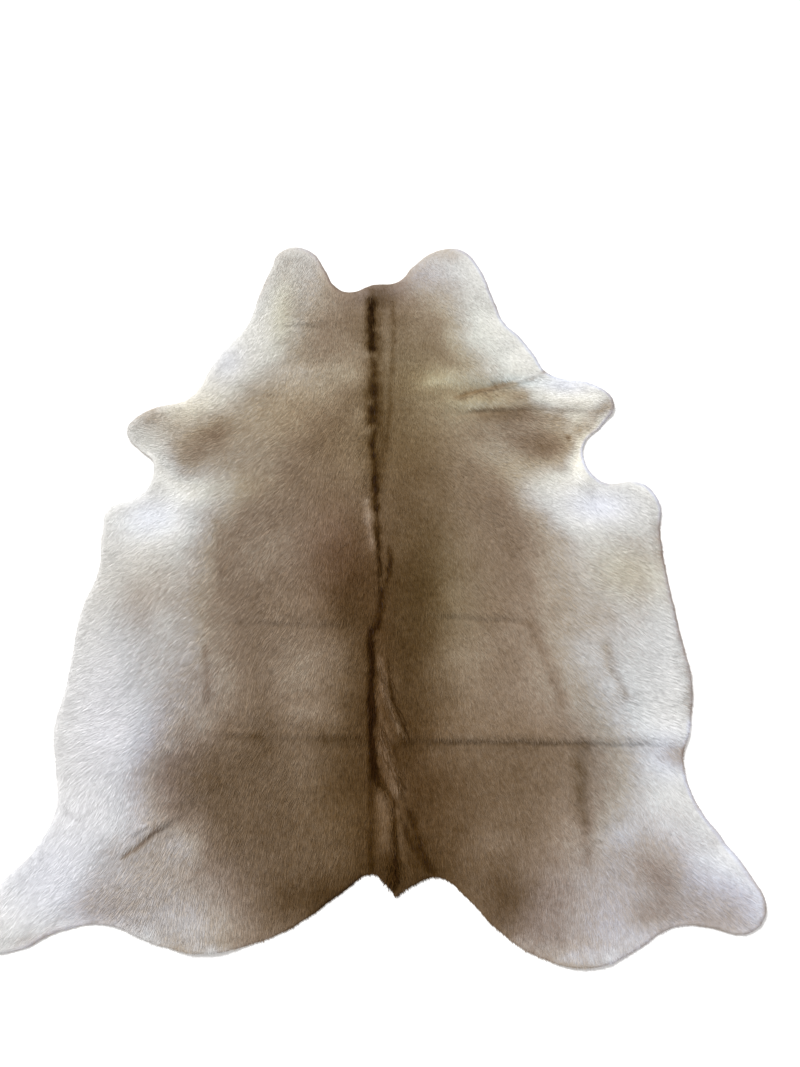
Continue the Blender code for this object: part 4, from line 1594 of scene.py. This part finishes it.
@dataclass(frozen=True)
class Finish:
    """What every finish has: the plain values of its shader, and its making."""

    name: str
    roughness: float
    specular: float
    sheen: float = 0.0
    relief_depth: float = 0.0

    def surface(self, bench: FinishBench) -> Surface:
        """Return the finish's colour and, where it has a relief, its height."""
        raise NotImplementedError(self.name)

    def build(self, shelf: FinishShelf) -> bpy.types.Material:
        """Make the material with its Principled shader.

        Args:
            shelf: The shader groups to use.

        Returns:
            The material.
        """
        material = bpy.data.materials.new(self.name)
        material.use_nodes = True
        bench = FinishBench(material.node_tree, shelf=shelf)
        shader = material.node_tree.nodes["Principled BSDF"]
        shader.inputs["Roughness"].default_value = self.roughness
        shader.inputs["Specular IOR Level"].default_value = self.specular
        shader.inputs["Sheen Weight"].default_value = self.sheen
        colour, height = self.surface(bench)
        bench.feed(shader.inputs["Base Color"], colour)
        if height is not None:
            feeds = {"Strength": 1.0, "Distance": self.relief_depth, "Height": height}
            bench.feed(shader.inputs["Normal"], bench.run("ShaderNodeBump", feeds, "Normal"))
        return material


@dataclass(frozen=True)
class SkinFinish(Finish):
    """The hair side of the leather, which shows between the locks."""

    name: str = "hide_skin_under_hair"
    roughness: float = 0.75
    specular: float = 0.2
    relief_depth: float = 0.0006
    grain_scale: float = 700.0
    # Painted shade: the skin between the locks is this much darker in tone than the hair.
    darker: float = 0.045
    mottle: float = 1.0

    def surface(self, bench: FinishBench) -> Surface:
        """Colour the skin a little darker than the hair on it, as painted shade under the locks, with a fine
        grain.
        """
        tone = bench.math("SUBTRACT", bench.attribute("tone"), self.darker)
        return bench.coat_colour(tone, self.mottle), bench.fibres(bench.place, self.grain_scale)


@dataclass(frozen=True)
class HairFinish(Finish):
    """The locks of the coat, a little different from one to the next."""

    name: str = "hide_hair"
    roughness: float = 0.52
    specular: float = 0.03
    relief_depth: float = 0.0004
    mottle: float = 0.8
    lock_spread: float = 0.055
    root_shade_tip_light: float = 0.05
    tip_middle: float = 0.35
    strand_stretch: tuple[float, float, float] = (4.0, 4.0, 0.7)
    strand_grain: Grain = Grain(2.0, 1.0)
    lock_shift: float = 97.0

    def surface(self, bench: FinishBench) -> Surface:
        """Colour each lock with painted shade at its root and painted light towards its tip, and run its
        strands along it.

        Args:
            bench: The material's bench.

        Returns:
            The colour and the height of the strands.
        """
        chance = bench.attribute("lock_chance")
        lock = bench.attribute("lock_place", "Vector")
        height = bench.run("ShaderNodeSeparateXYZ", {0: lock}, "Z")
        spread = bench.math("MULTIPLY", bench.math("SUBTRACT", chance, 0.5), self.lock_spread)
        # Painted shade and light: each lock's tone is lowered near its root and raised towards its tip.
        lift = bench.math("MULTIPLY", bench.math("SUBTRACT", height, self.tip_middle), self.root_shade_tip_light)
        tone = bench.math("ADD", bench.math("ADD", bench.attribute("tone"), spread), lift)
        shift = bench.run("ShaderNodeCombineXYZ", {"X": bench.math("MULTIPLY", chance, self.lock_shift)})
        strands = bench.vector_math("ADD", bench.vector_math("MULTIPLY", lock, self.strand_stretch), shift)
        return bench.coat_colour(tone, self.mottle), bench.noise(strands, self.strand_grain)


@dataclass(frozen=True)
class SuedeFinish(Finish):
    """The flesh side of the leather: pale tan, buffed, with darker clouds."""

    name: str = "hide_suede"
    roughness: float = 0.88
    specular: float = 0.15
    sheen: float = 0.25
    relief_depth: float = 0.0004
    pale: Colour = (0.61, 0.52, 0.41, 1.0)
    deep: Colour = (0.43, 0.34, 0.25, 1.0)
    cloud: Grain = Grain(5.0, 6.0, 0.65)
    cloud_share: float = 1.1
    nap: Grain = Grain(60.0, 4.0, 0.6)
    nap_share: float = 0.5
    deep_cover: float = 0.35
    grain_scale: float = 900.0

    def surface(self, bench: FinishBench) -> Surface:
        """Cloud the suede with broad and fine patches of its two colours.

        Args:
            bench: The material's bench.

        Returns:
            The colour and the height of the fibres.
        """
        clouds = bench.math("MULTIPLY", bench.noise(bench.place, self.cloud), self.cloud_share)
        naps = bench.math("MULTIPLY", bench.noise(bench.place, self.nap), self.nap_share)
        share = bench.math("SUBTRACT", bench.math("ADD", clouds, naps), self.deep_cover, clamp=True)
        return bench.blend(share, self.deep, self.pale), bench.fibres(bench.place, self.grain_scale)


@dataclass(frozen=True)
class CutFinish(Finish):
    """The cut edge of the leather: raw fibres, paler than the suede."""

    name: str = "hide_cut_edge"
    roughness: float = 0.8
    specular: float = 0.2
    relief_depth: float = 0.0005
    pale: Colour = (0.62, 0.52, 0.40, 1.0)
    deep: Colour = (0.36, 0.28, 0.20, 1.0)
    layering: tuple[float, float, float] = (1.0, 1.0, 9.0)
    layer_grain: Grain = Grain(130.0, 4.0, 0.65)
    grain_scale: float = 1400.0

    def surface(self, bench: FinishBench) -> Surface:
        """Colour the raw fibres in thin level layers.

        Args:
            bench: The material's bench.

        Returns:
            The colour and the height of the fibres.
        """
        layered = bench.vector_math("MULTIPLY", bench.place, self.layering)
        share = bench.noise(layered, self.layer_grain)
        return bench.blend(share, self.deep, self.pale), bench.fibres(layered, self.grain_scale)


@dataclass(frozen=True)
class FloorFinish(Finish):
    """The studio's pale seamless floor, which has no relief."""

    name: str = "studio_floor"
    roughness: float = 0.9
    specular: float = 0.1
    colour: Colour = (0.93, 0.93, 0.93, 1.0)
    shade: Colour = (0.90, 0.90, 0.905, 1.0)
    cloud: Grain = Grain(1.5, 3.0)

    def surface(self, bench: FinishBench) -> Surface:
        """Shade the floor very softly."""
        return bench.blend(bench.noise(bench.place, self.cloud), self.shade, self.colour), None


def apply_tree(obj: bpy.types.Object, tree: bpy.types.NodeTree, values: dict[str, object]) -> None:
    """Run a Geometry Nodes tree on an object and keep the result as a plain mesh.

    Args:
        obj: The object, whose mesh is replaced.
        tree: The tree, with the inputs of TREE_ENDS.
        values: What goes into its named inputs, apart from those of the map.
    """
    places = point_places(obj.data)
    low = places.min(axis=0) - MAP_REACH
    scale = 1.0 / float((places.max(axis=0) + MAP_REACH - low)[:2].max())
    corner = tuple(float(value) for value in low)
    values = {**values, "Map Corner": corner, "Map Scale": (scale, scale, 0.0)}
    modifier = obj.modifiers.new(tree.name, "NODES")
    modifier.node_group = tree
    for item in tree.interface.items_tree:
        if item.item_type == "SOCKET" and item.in_out == "INPUT" and item.name in values:
            modifier[item.identifier] = values[item.name]
    depsgraph = bpy.context.evaluated_depsgraph_get()
    mesh = bpy.data.meshes.new_from_object(obj.evaluated_get(depsgraph))
    obj.modifiers.remove(modifier)
    obj.data = mesh


@dataclass
class HairCoat:
    """The short coat: tapered locks rooted all over the leather's hair side."""

    spacing: float = 0.00335
    density_cap: float = 400000.0
    lock_length: float = 0.018
    lock_width: float = 0.0031
    lock_depth: float = 0.0010
    length_span: tuple[float, float] = (0.7, 1.25)
    width_span: tuple[float, float] = (0.65, 1.25)
    depth_span: tuple[float, float] = (0.7, 1.3)
    pitch_deg: float = 6.5
    pitch_spread: float = 0.6
    splay: float = 0.22
    lock_sides: int = 3
    seed: int = 5
    quick_thinning: float = 1.8

    def tree(self) -> bpy.types.NodeTree:
        """Build the tree that roots the locks on one band of the leather.

        Returns:
            The tree.
        """
        bench = GroupBench.new(
            "hair_locks",
            "Geometry",
            (
                ("Leather", "Geometry", None),
                ("Band Start", "Float", 0.0),
                ("Band End", "Float", 1.0),
                ("Spacing", "Float", self.spacing),
                ("Lock Length", "Float", self.lock_length),
                ("Lock Width", "Float", self.lock_width),
                ("Lock Depth", "Float", self.lock_depth),
                ("Pitch", "Float", math.radians(self.pitch_deg)),
                *TREE_ENDS,
            ),
            ("Hair", "Geometry"),
        )
        spread = {
            "Mesh": self.band_skin(bench),
            "Distance Min": bench.given("Spacing"),
            "Density Max": self.density_cap,
            "Seed": self.seed,
        }
        roots = bench.add("GeometryNodeDistributePointsOnFaces", spread, distribute_method="POISSON")
        chance = bench.chance((0.0, 1.0), LockDraw.LOOK)
        placed = {
            "Points": bench.store(roots.outputs["Points"], "FLOAT", "lock_chance", chance),
            "Instance": self.lock(bench),
            "Rotation": self.lock_turn(bench, roots.outputs["Normal"]),
            "Scale": self.lock_size(bench),
        }
        return bench.end(bench.run("GeometryNodeInstanceOnPoints", placed))

    def band_skin(self, bench: GroupBench) -> Socket:
        """Keep only the hair side's faces that lie in the band.

        Args:
            bench: The tree's bench.

        Returns:
            The faces.
        """
        along = bench.run("ShaderNodeSeparateXYZ", {0: bench.position()}, "Y")
        surface = bench.run("GeometryNodeInputMaterialIndex")
        after_start = bench.math("GREATER_THAN", along, bench.given("Band Start"))
        past_end = bench.math("GREATER_THAN", along, bench.given("Band End"))
        in_band = bench.math("SUBTRACT", after_start, past_end)
        is_hair = bench.math("LESS_THAN", surface, SheetFace.HAIR.value + 0.5)
        kept = {"Geometry": bench.given("Leather"), "Selection": bench.math("MULTIPLY", in_band, is_hair)}
        return bench.run("GeometryNodeSeparateGeometry", kept, "Selection", domain="FACE")

    def lock(self, bench: GroupBench) -> Socket:
        """Make one lock: a cone of radius and length 1 that remembers its own places.

        Args:
            bench: The tree's bench.

        Returns:
            The lock's mesh.
        """
        cone = {
            "Vertices": self.lock_sides,
            "Side Segments": 1,
            "Radius Top": 0.0,
            "Radius Bottom": 1.0,
            "Depth": 1.0,
        }
        mesh = bench.run("GeometryNodeMeshCone", cone, "Mesh", fill_type="NGON")
        return bench.store(mesh, "FLOAT_VECTOR", "lock_place", bench.position())

    def lock_turn(self, bench: GroupBench, normal: Socket) -> Socket:
        """Turn a lock along the lay of the hair, lifted by its pitch, ridge up.

        Args:
            bench: The tree's bench.
            normal: Which way the skin faces.

        Returns:
            The turn.
        """
        lay = bench.attribute("FLOAT_VECTOR", "lay")
        level = bench.vector_math("SUBTRACT", lay, bench.vector_math("PROJECT", lay, normal))
        slope = bench.math("TANGENT", bench.given("Pitch"))
        pitches = bench.chance((1.0 - self.pitch_spread, 1.0 + self.pitch_spread), LockDraw.PITCH)
        rise = bench.scale(normal, bench.math("MULTIPLY", slope, pitches))
        across = bench.vector_math("CROSS_PRODUCT", normal, lay)
        aside = bench.scale(across, bench.chance((-self.splay, self.splay), LockDraw.SPLAY))
        way = bench.vector_math("ADD", bench.vector_math("ADD", level, rise), aside)
        turn = bench.run("FunctionNodeAlignRotationToVector", {"Vector": way}, axis="Z")
        upright = {"Rotation": turn, "Vector": normal}
        return bench.run("FunctionNodeAlignRotationToVector", upright, axis="X", pivot_axis="Z")

    def lock_size(self, bench: GroupBench) -> Socket:
        """Scale a lock to its depth, width and length. A cone of radius 1 is sqrt(3) wide.

        Args:
            bench: The tree's bench.

        Returns:
            The three scales.
        """
        depth_chance = bench.chance(self.depth_span, LockDraw.DEPTH)
        width_chance = bench.chance(self.width_span, LockDraw.WIDTH)
        length_chance = bench.chance(self.length_span, LockDraw.LENGTH)
        depth = bench.math("MULTIPLY", bench.given("Lock Depth"), depth_chance)
        width = bench.math("MULTIPLY", bench.given("Lock Width"), 1.0 / math.sqrt(3.0))
        width = bench.math("MULTIPLY", width, width_chance)
        length = bench.math("MULTIPLY", bench.given("Lock Length"), length_chance)
        length = bench.math("MULTIPLY", length, bench.attribute("FLOAT", "hair_length"))
        return bench.run("ShaderNodeCombineXYZ", {"X": depth, "Y": width, "Z": length})

    def build(
        self,
        leather: bpy.types.Object,
        plan: HidePlan,
        band: CoatBand,
        tree: bpy.types.NodeTree,
        finish: bpy.types.Material,
    ) -> bpy.types.Object:
        """Grow the hair of one band.

        Args:
            leather: The leather to root it on.
            plan: Where the hide lies in the frame.
            band: The length of the hide.
            tree: The tree from this class.
            finish: The hair's material.

        Returns:
            The band's hair as one plain mesh.
        """
        start, end = band.value
        obj = add_object(f"hair_{band.name.lower()}", leather.data)
        values = {
            "Band Start": start + plan.tail_y,
            "Band End": end + plan.tail_y,
            "Spacing": self.spacing * 1.0,
            "Finish": finish,
        }
        apply_tree(obj, tree, values)
        for name in ("lay", "hair_length"):
            spent = obj.data.attributes.get(name)
            if spent is not None:
                obj.data.attributes.remove(spent)
        return obj


@dataclass
class SpineWisps:
    """The longer locks that part along the spine and gather over the tail."""

    plan: HidePlan
    relief: HideRelief
    coat: CoatMap
    base: float = 0.0024
    steps: int = 10
    sides: int = 4
    lift: float = 0.0042
    lift_span: tuple[float, float] = (0.75, 1.2)
    length_span: tuple[float, float] = (0.65, 1.2)
    width_span: tuple[float, float] = (0.7, 1.2)
    turns_span: tuple[float, float] = (0.8, 1.6)
    root_scatter: float = 0.5
    tip_scatter: float = 0.6
    arch_start: float = 0.02
    arch_share: float = 0.75
    taper_start: float = 0.15
    taper_share: float = 0.83
    taper_power: float = 0.8
    seed: int = 77

    def tree(self) -> bpy.types.NodeTree:
        """Build the tree that sweeps a tapered strand along each route.

        Returns:
            The tree.
        """
        bench = GroupBench.new(
            "spine_wisps",
            "Geometry",
            (("Routes", "Geometry", None), ("Sides", "Int", self.sides), *TREE_ENDS),
            ("Strands", "Geometry"),
        )
        circle = {"Resolution": bench.given("Sides"), "Radius": 1.0}
        swept = {
            "Curve": bench.run("GeometryNodeMeshToCurve", {"Mesh": bench.given("Routes")}),
            "Profile Curve": bench.run("GeometryNodeCurvePrimitiveCircle", circle, "Curve", mode="RADIUS"),
            "Scale": bench.attribute("FLOAT", "strand_half"),
            "Fill Caps": True,
        }
        return bench.end(bench.run("GeometryNodeCurveToMesh", swept))

    def walk(self, family: Wisps, rng: np.random.Generator) -> tuple[np.ndarray, np.ndarray, np.ndarray]:
        """Lay out the strands of one family on the plan of the hide.

        Args:
            family: The family's row.
            rng: Where its chances come from.

        Returns:
            The out and the along of every point, by strand and step, and the share of
            a strand's length at each step.
        """
        corners = np.array(family.route)
        legs = np.linalg.norm(np.diff(corners, axis=0), axis=1)
        run = np.concatenate([[0.0], np.cumsum(legs)])
        share = np.linspace(0.0, 1.0, self.steps)[None, :]
        one_each = (family.count, 1)
        start = rng.uniform(0.0, run[-1], one_each)
        length = family.length * rng.uniform(*self.length_span, one_each)
        way = start + length * share
        beyond = np.maximum(way - run[-1], 0.0)
        last = (corners[-1] - corners[-2]) / legs[-1]
        out = np.interp(way, run, corners[:, 0]) + beyond * last[0]
        along = np.interp(way, run, corners[:, 1]) + beyond * last[1]
        offset = family.spread * rng.normal(0.0, self.root_scatter, one_each)
        drift = family.spread * rng.normal(0.0, self.tip_scatter, one_each) * share
        phase = rng.uniform(0.0, 2.0 * math.pi, one_each)
        turns = rng.uniform(*self.turns_span, one_each)
        swing = family.wave * np.sin(phase + 2.0 * math.pi * turns * share) * share
        return out + offset + drift + swing, along, share

    def grow(self, family: Wisps, rng: np.random.Generator) -> dict[str, np.ndarray]:
        """Make the points of one family.

        Args:
            family: The family's row.
            rng: Where its chances come from.

        Returns:
            The points' places and attributes by name, by strand and step.
        """
        out, along, share = self.walk(family, rng)
        root = (out[:, :1], along[:, :1])
        one_each = (family.count, 1)
        x, y = self.plan.point(out, along)
        ground = self.relief.height(x.ravel(), y.ravel()).reshape(x.shape) + self.base
        arch = np.sin(math.pi * np.clip(share * self.arch_share + self.arch_start, 0.0, 1.0))
        z = ground + self.lift * arch * rng.uniform(*self.lift_span, one_each)
        taper = np.sin(math.pi * np.clip(self.taper_start + self.taper_share * share, 0.0, 1.0))
        half = family.half_width * taper**self.taper_power * rng.uniform(*self.width_span, one_each)
        warmth, ruddiness = self.coat.hue(*root)
        grown = {
            "strand_half": half,
            "tone": self.coat.tone(*root) + family.tone_shift,
            "warmth": warmth,
            "ruddiness": ruddiness,
            "lock_chance": rng.uniform(0.0, 1.0, one_each),
            "share": share,
        }
        grown = {name: np.broadcast_to(numbers, x.shape) for name, numbers in grown.items()}
        grown["place"] = np.stack([x, y, z], axis=-1)
        return grown

    def build(self, finish: bpy.types.Material) -> bpy.types.Object:
        """Make all the strands as one mesh.

        Args:
            finish: The hair's material.

        Returns:
            The strands.
        """
        rng = np.random.default_rng(self.seed)
        families = [self.grow(family, rng) for family in WISPS]
        grown = {name: np.vstack([family[name] for family in families]) for name in families[0]}
        places = grown.pop("place").reshape(-1, 3)
        share = grown.pop("share").ravel()
        grown["lock_place"] = np.column_stack([np.zeros_like(share), np.zeros_like(share), share])
        index = np.arange(len(places)).reshape(-1, self.steps)
        edges = np.stack([index[:, :-1], index[:, 1:]], axis=-1).reshape(-1, 2)
        mesh = bpy.data.meshes.new("spine_wisps")
        mesh.from_pydata(places.tolist(), edges.tolist(), [])
        write_points(mesh, grown)
        obj = add_object("spine_wisps", mesh)
        apply_tree(obj, self.tree(), {"Finish": finish})
        return obj


@dataclass
class Studio:
    """A pale seamless floor, a soft key light, an even fill, and the camera."""

    floor_size: float = 14.0
    floor_drop: float = 0.0004
    key_strength: float = 3.06
    key_elevation_deg: float = 42.0
    key_bearing_deg: float = 118.0
    key_softness_deg: float = 16.0
    fill_strength: float = 0.75
    fill_colour: Colour = (1.0, 0.99, 0.98, 1.0)
    camera_place: tuple[float, float, float] = (0.0716, -1.0066, 2.2)
    camera_tilt_deg: float = 25.0
    camera_heading_deg: float = -2.517
    camera_lens: float = 28.0
    camera_clip: float = 0.05

    def build_floor(self, material: bpy.types.Material) -> None:
        """Lay the floor just under the hide.

        Args:
            material: The floor's material.
        """
        half = self.floor_size / 2.0
        mesh = bpy.data.meshes.new("studio_floor")
        corners = [(-half, -half), (half, -half), (half, half), (-half, half)]
        mesh.from_pydata([(x, y, -self.floor_drop) for x, y in corners], [], [(0, 1, 2, 3)])
        mesh.materials.append(material)
        add_object("studio_floor", mesh)

    def build_lights(self) -> None:
        """Set the key light at the upper left and an even white fill all round."""
        lamp = bpy.data.lights.new("key_light", "SUN")
        lamp.energy = self.key_strength
        lamp.angle = math.radians(self.key_softness_deg)
        bearing = math.radians(self.key_bearing_deg)
        elevation = math.radians(self.key_elevation_deg)
        level = math.cos(elevation)
        towards = Vector((math.cos(bearing) * level, math.sin(bearing) * level, math.sin(elevation)))
        add_object("key_light", lamp).rotation_euler = towards.to_track_quat("Z", "Y").to_euler()
        world = bpy.data.worlds.new("studio_fill")
        world.use_nodes = True
        fill = world.node_tree.nodes["Background"]
        fill.inputs["Color"].default_value = self.fill_colour
        fill.inputs["Strength"].default_value = self.fill_strength
        bpy.context.scene.world = world
        bpy.context.scene.view_settings.view_transform = "Standard"

    def build_camera(self) -> None:
        """Look down at the hide from past its tail, as in the photo."""
        lens = bpy.data.cameras.new("camera")
        lens.lens = self.camera_lens
        lens.clip_start = self.camera_clip
        camera = add_object("camera", lens)
        camera.location = self.camera_place
        tilt = math.radians(self.camera_tilt_deg)
        camera.rotation_euler = (tilt, 0.0, math.radians(self.camera_heading_deg))
        bpy.context.scene.camera = camera


def add_piece(obj: bpy.types.Object) -> None:
    """Tie a piece to the hide's body, and report its triangles.

    Args:
        obj: The piece.
    """
    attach(obj, HIDE_BODY)
    obj.data.calc_loop_triangles()
    LOG.info("%s: %d triangles", obj.name, len(obj.data.loop_triangles))


def main() -> None:
    """Dress the hide and set the studio."""
    logging.basicConfig(level=logging.INFO, format="%(name)s: %(message)s")
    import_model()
    shelf = FinishShelf()
    plan = HidePlan()
    outline = HideOutline()
    outline.build()
    relief = HideRelief(plan)
    relief.read_solid(outline)
    coat = CoatMap()
    leather = HideSheet(plan, outline, relief, coat, HairLay())
    sheet = leather.build()
    for finish in (SkinFinish(), SuedeFinish(), CutFinish()):
        sheet.data.materials.append(finish.build(shelf))
    hair_finish = HairFinish().build(shelf)
    hair = HairCoat()
    lock_tree = hair.tree()
    hairs = [hair.build(sheet, plan, band, lock_tree, hair_finish) for band in CoatBand]
    hairs.append(SpineWisps(plan, relief, coat).build(hair_finish))
    for piece in [sheet, *hairs]:
        add_piece(piece)
    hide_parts(HIDE_NODE)
    studio = Studio()
    studio.build_floor(FloorFinish().build(shelf))
    studio.build_lights()
    studio.build_camera()


if __name__ == "__main__":
    main()
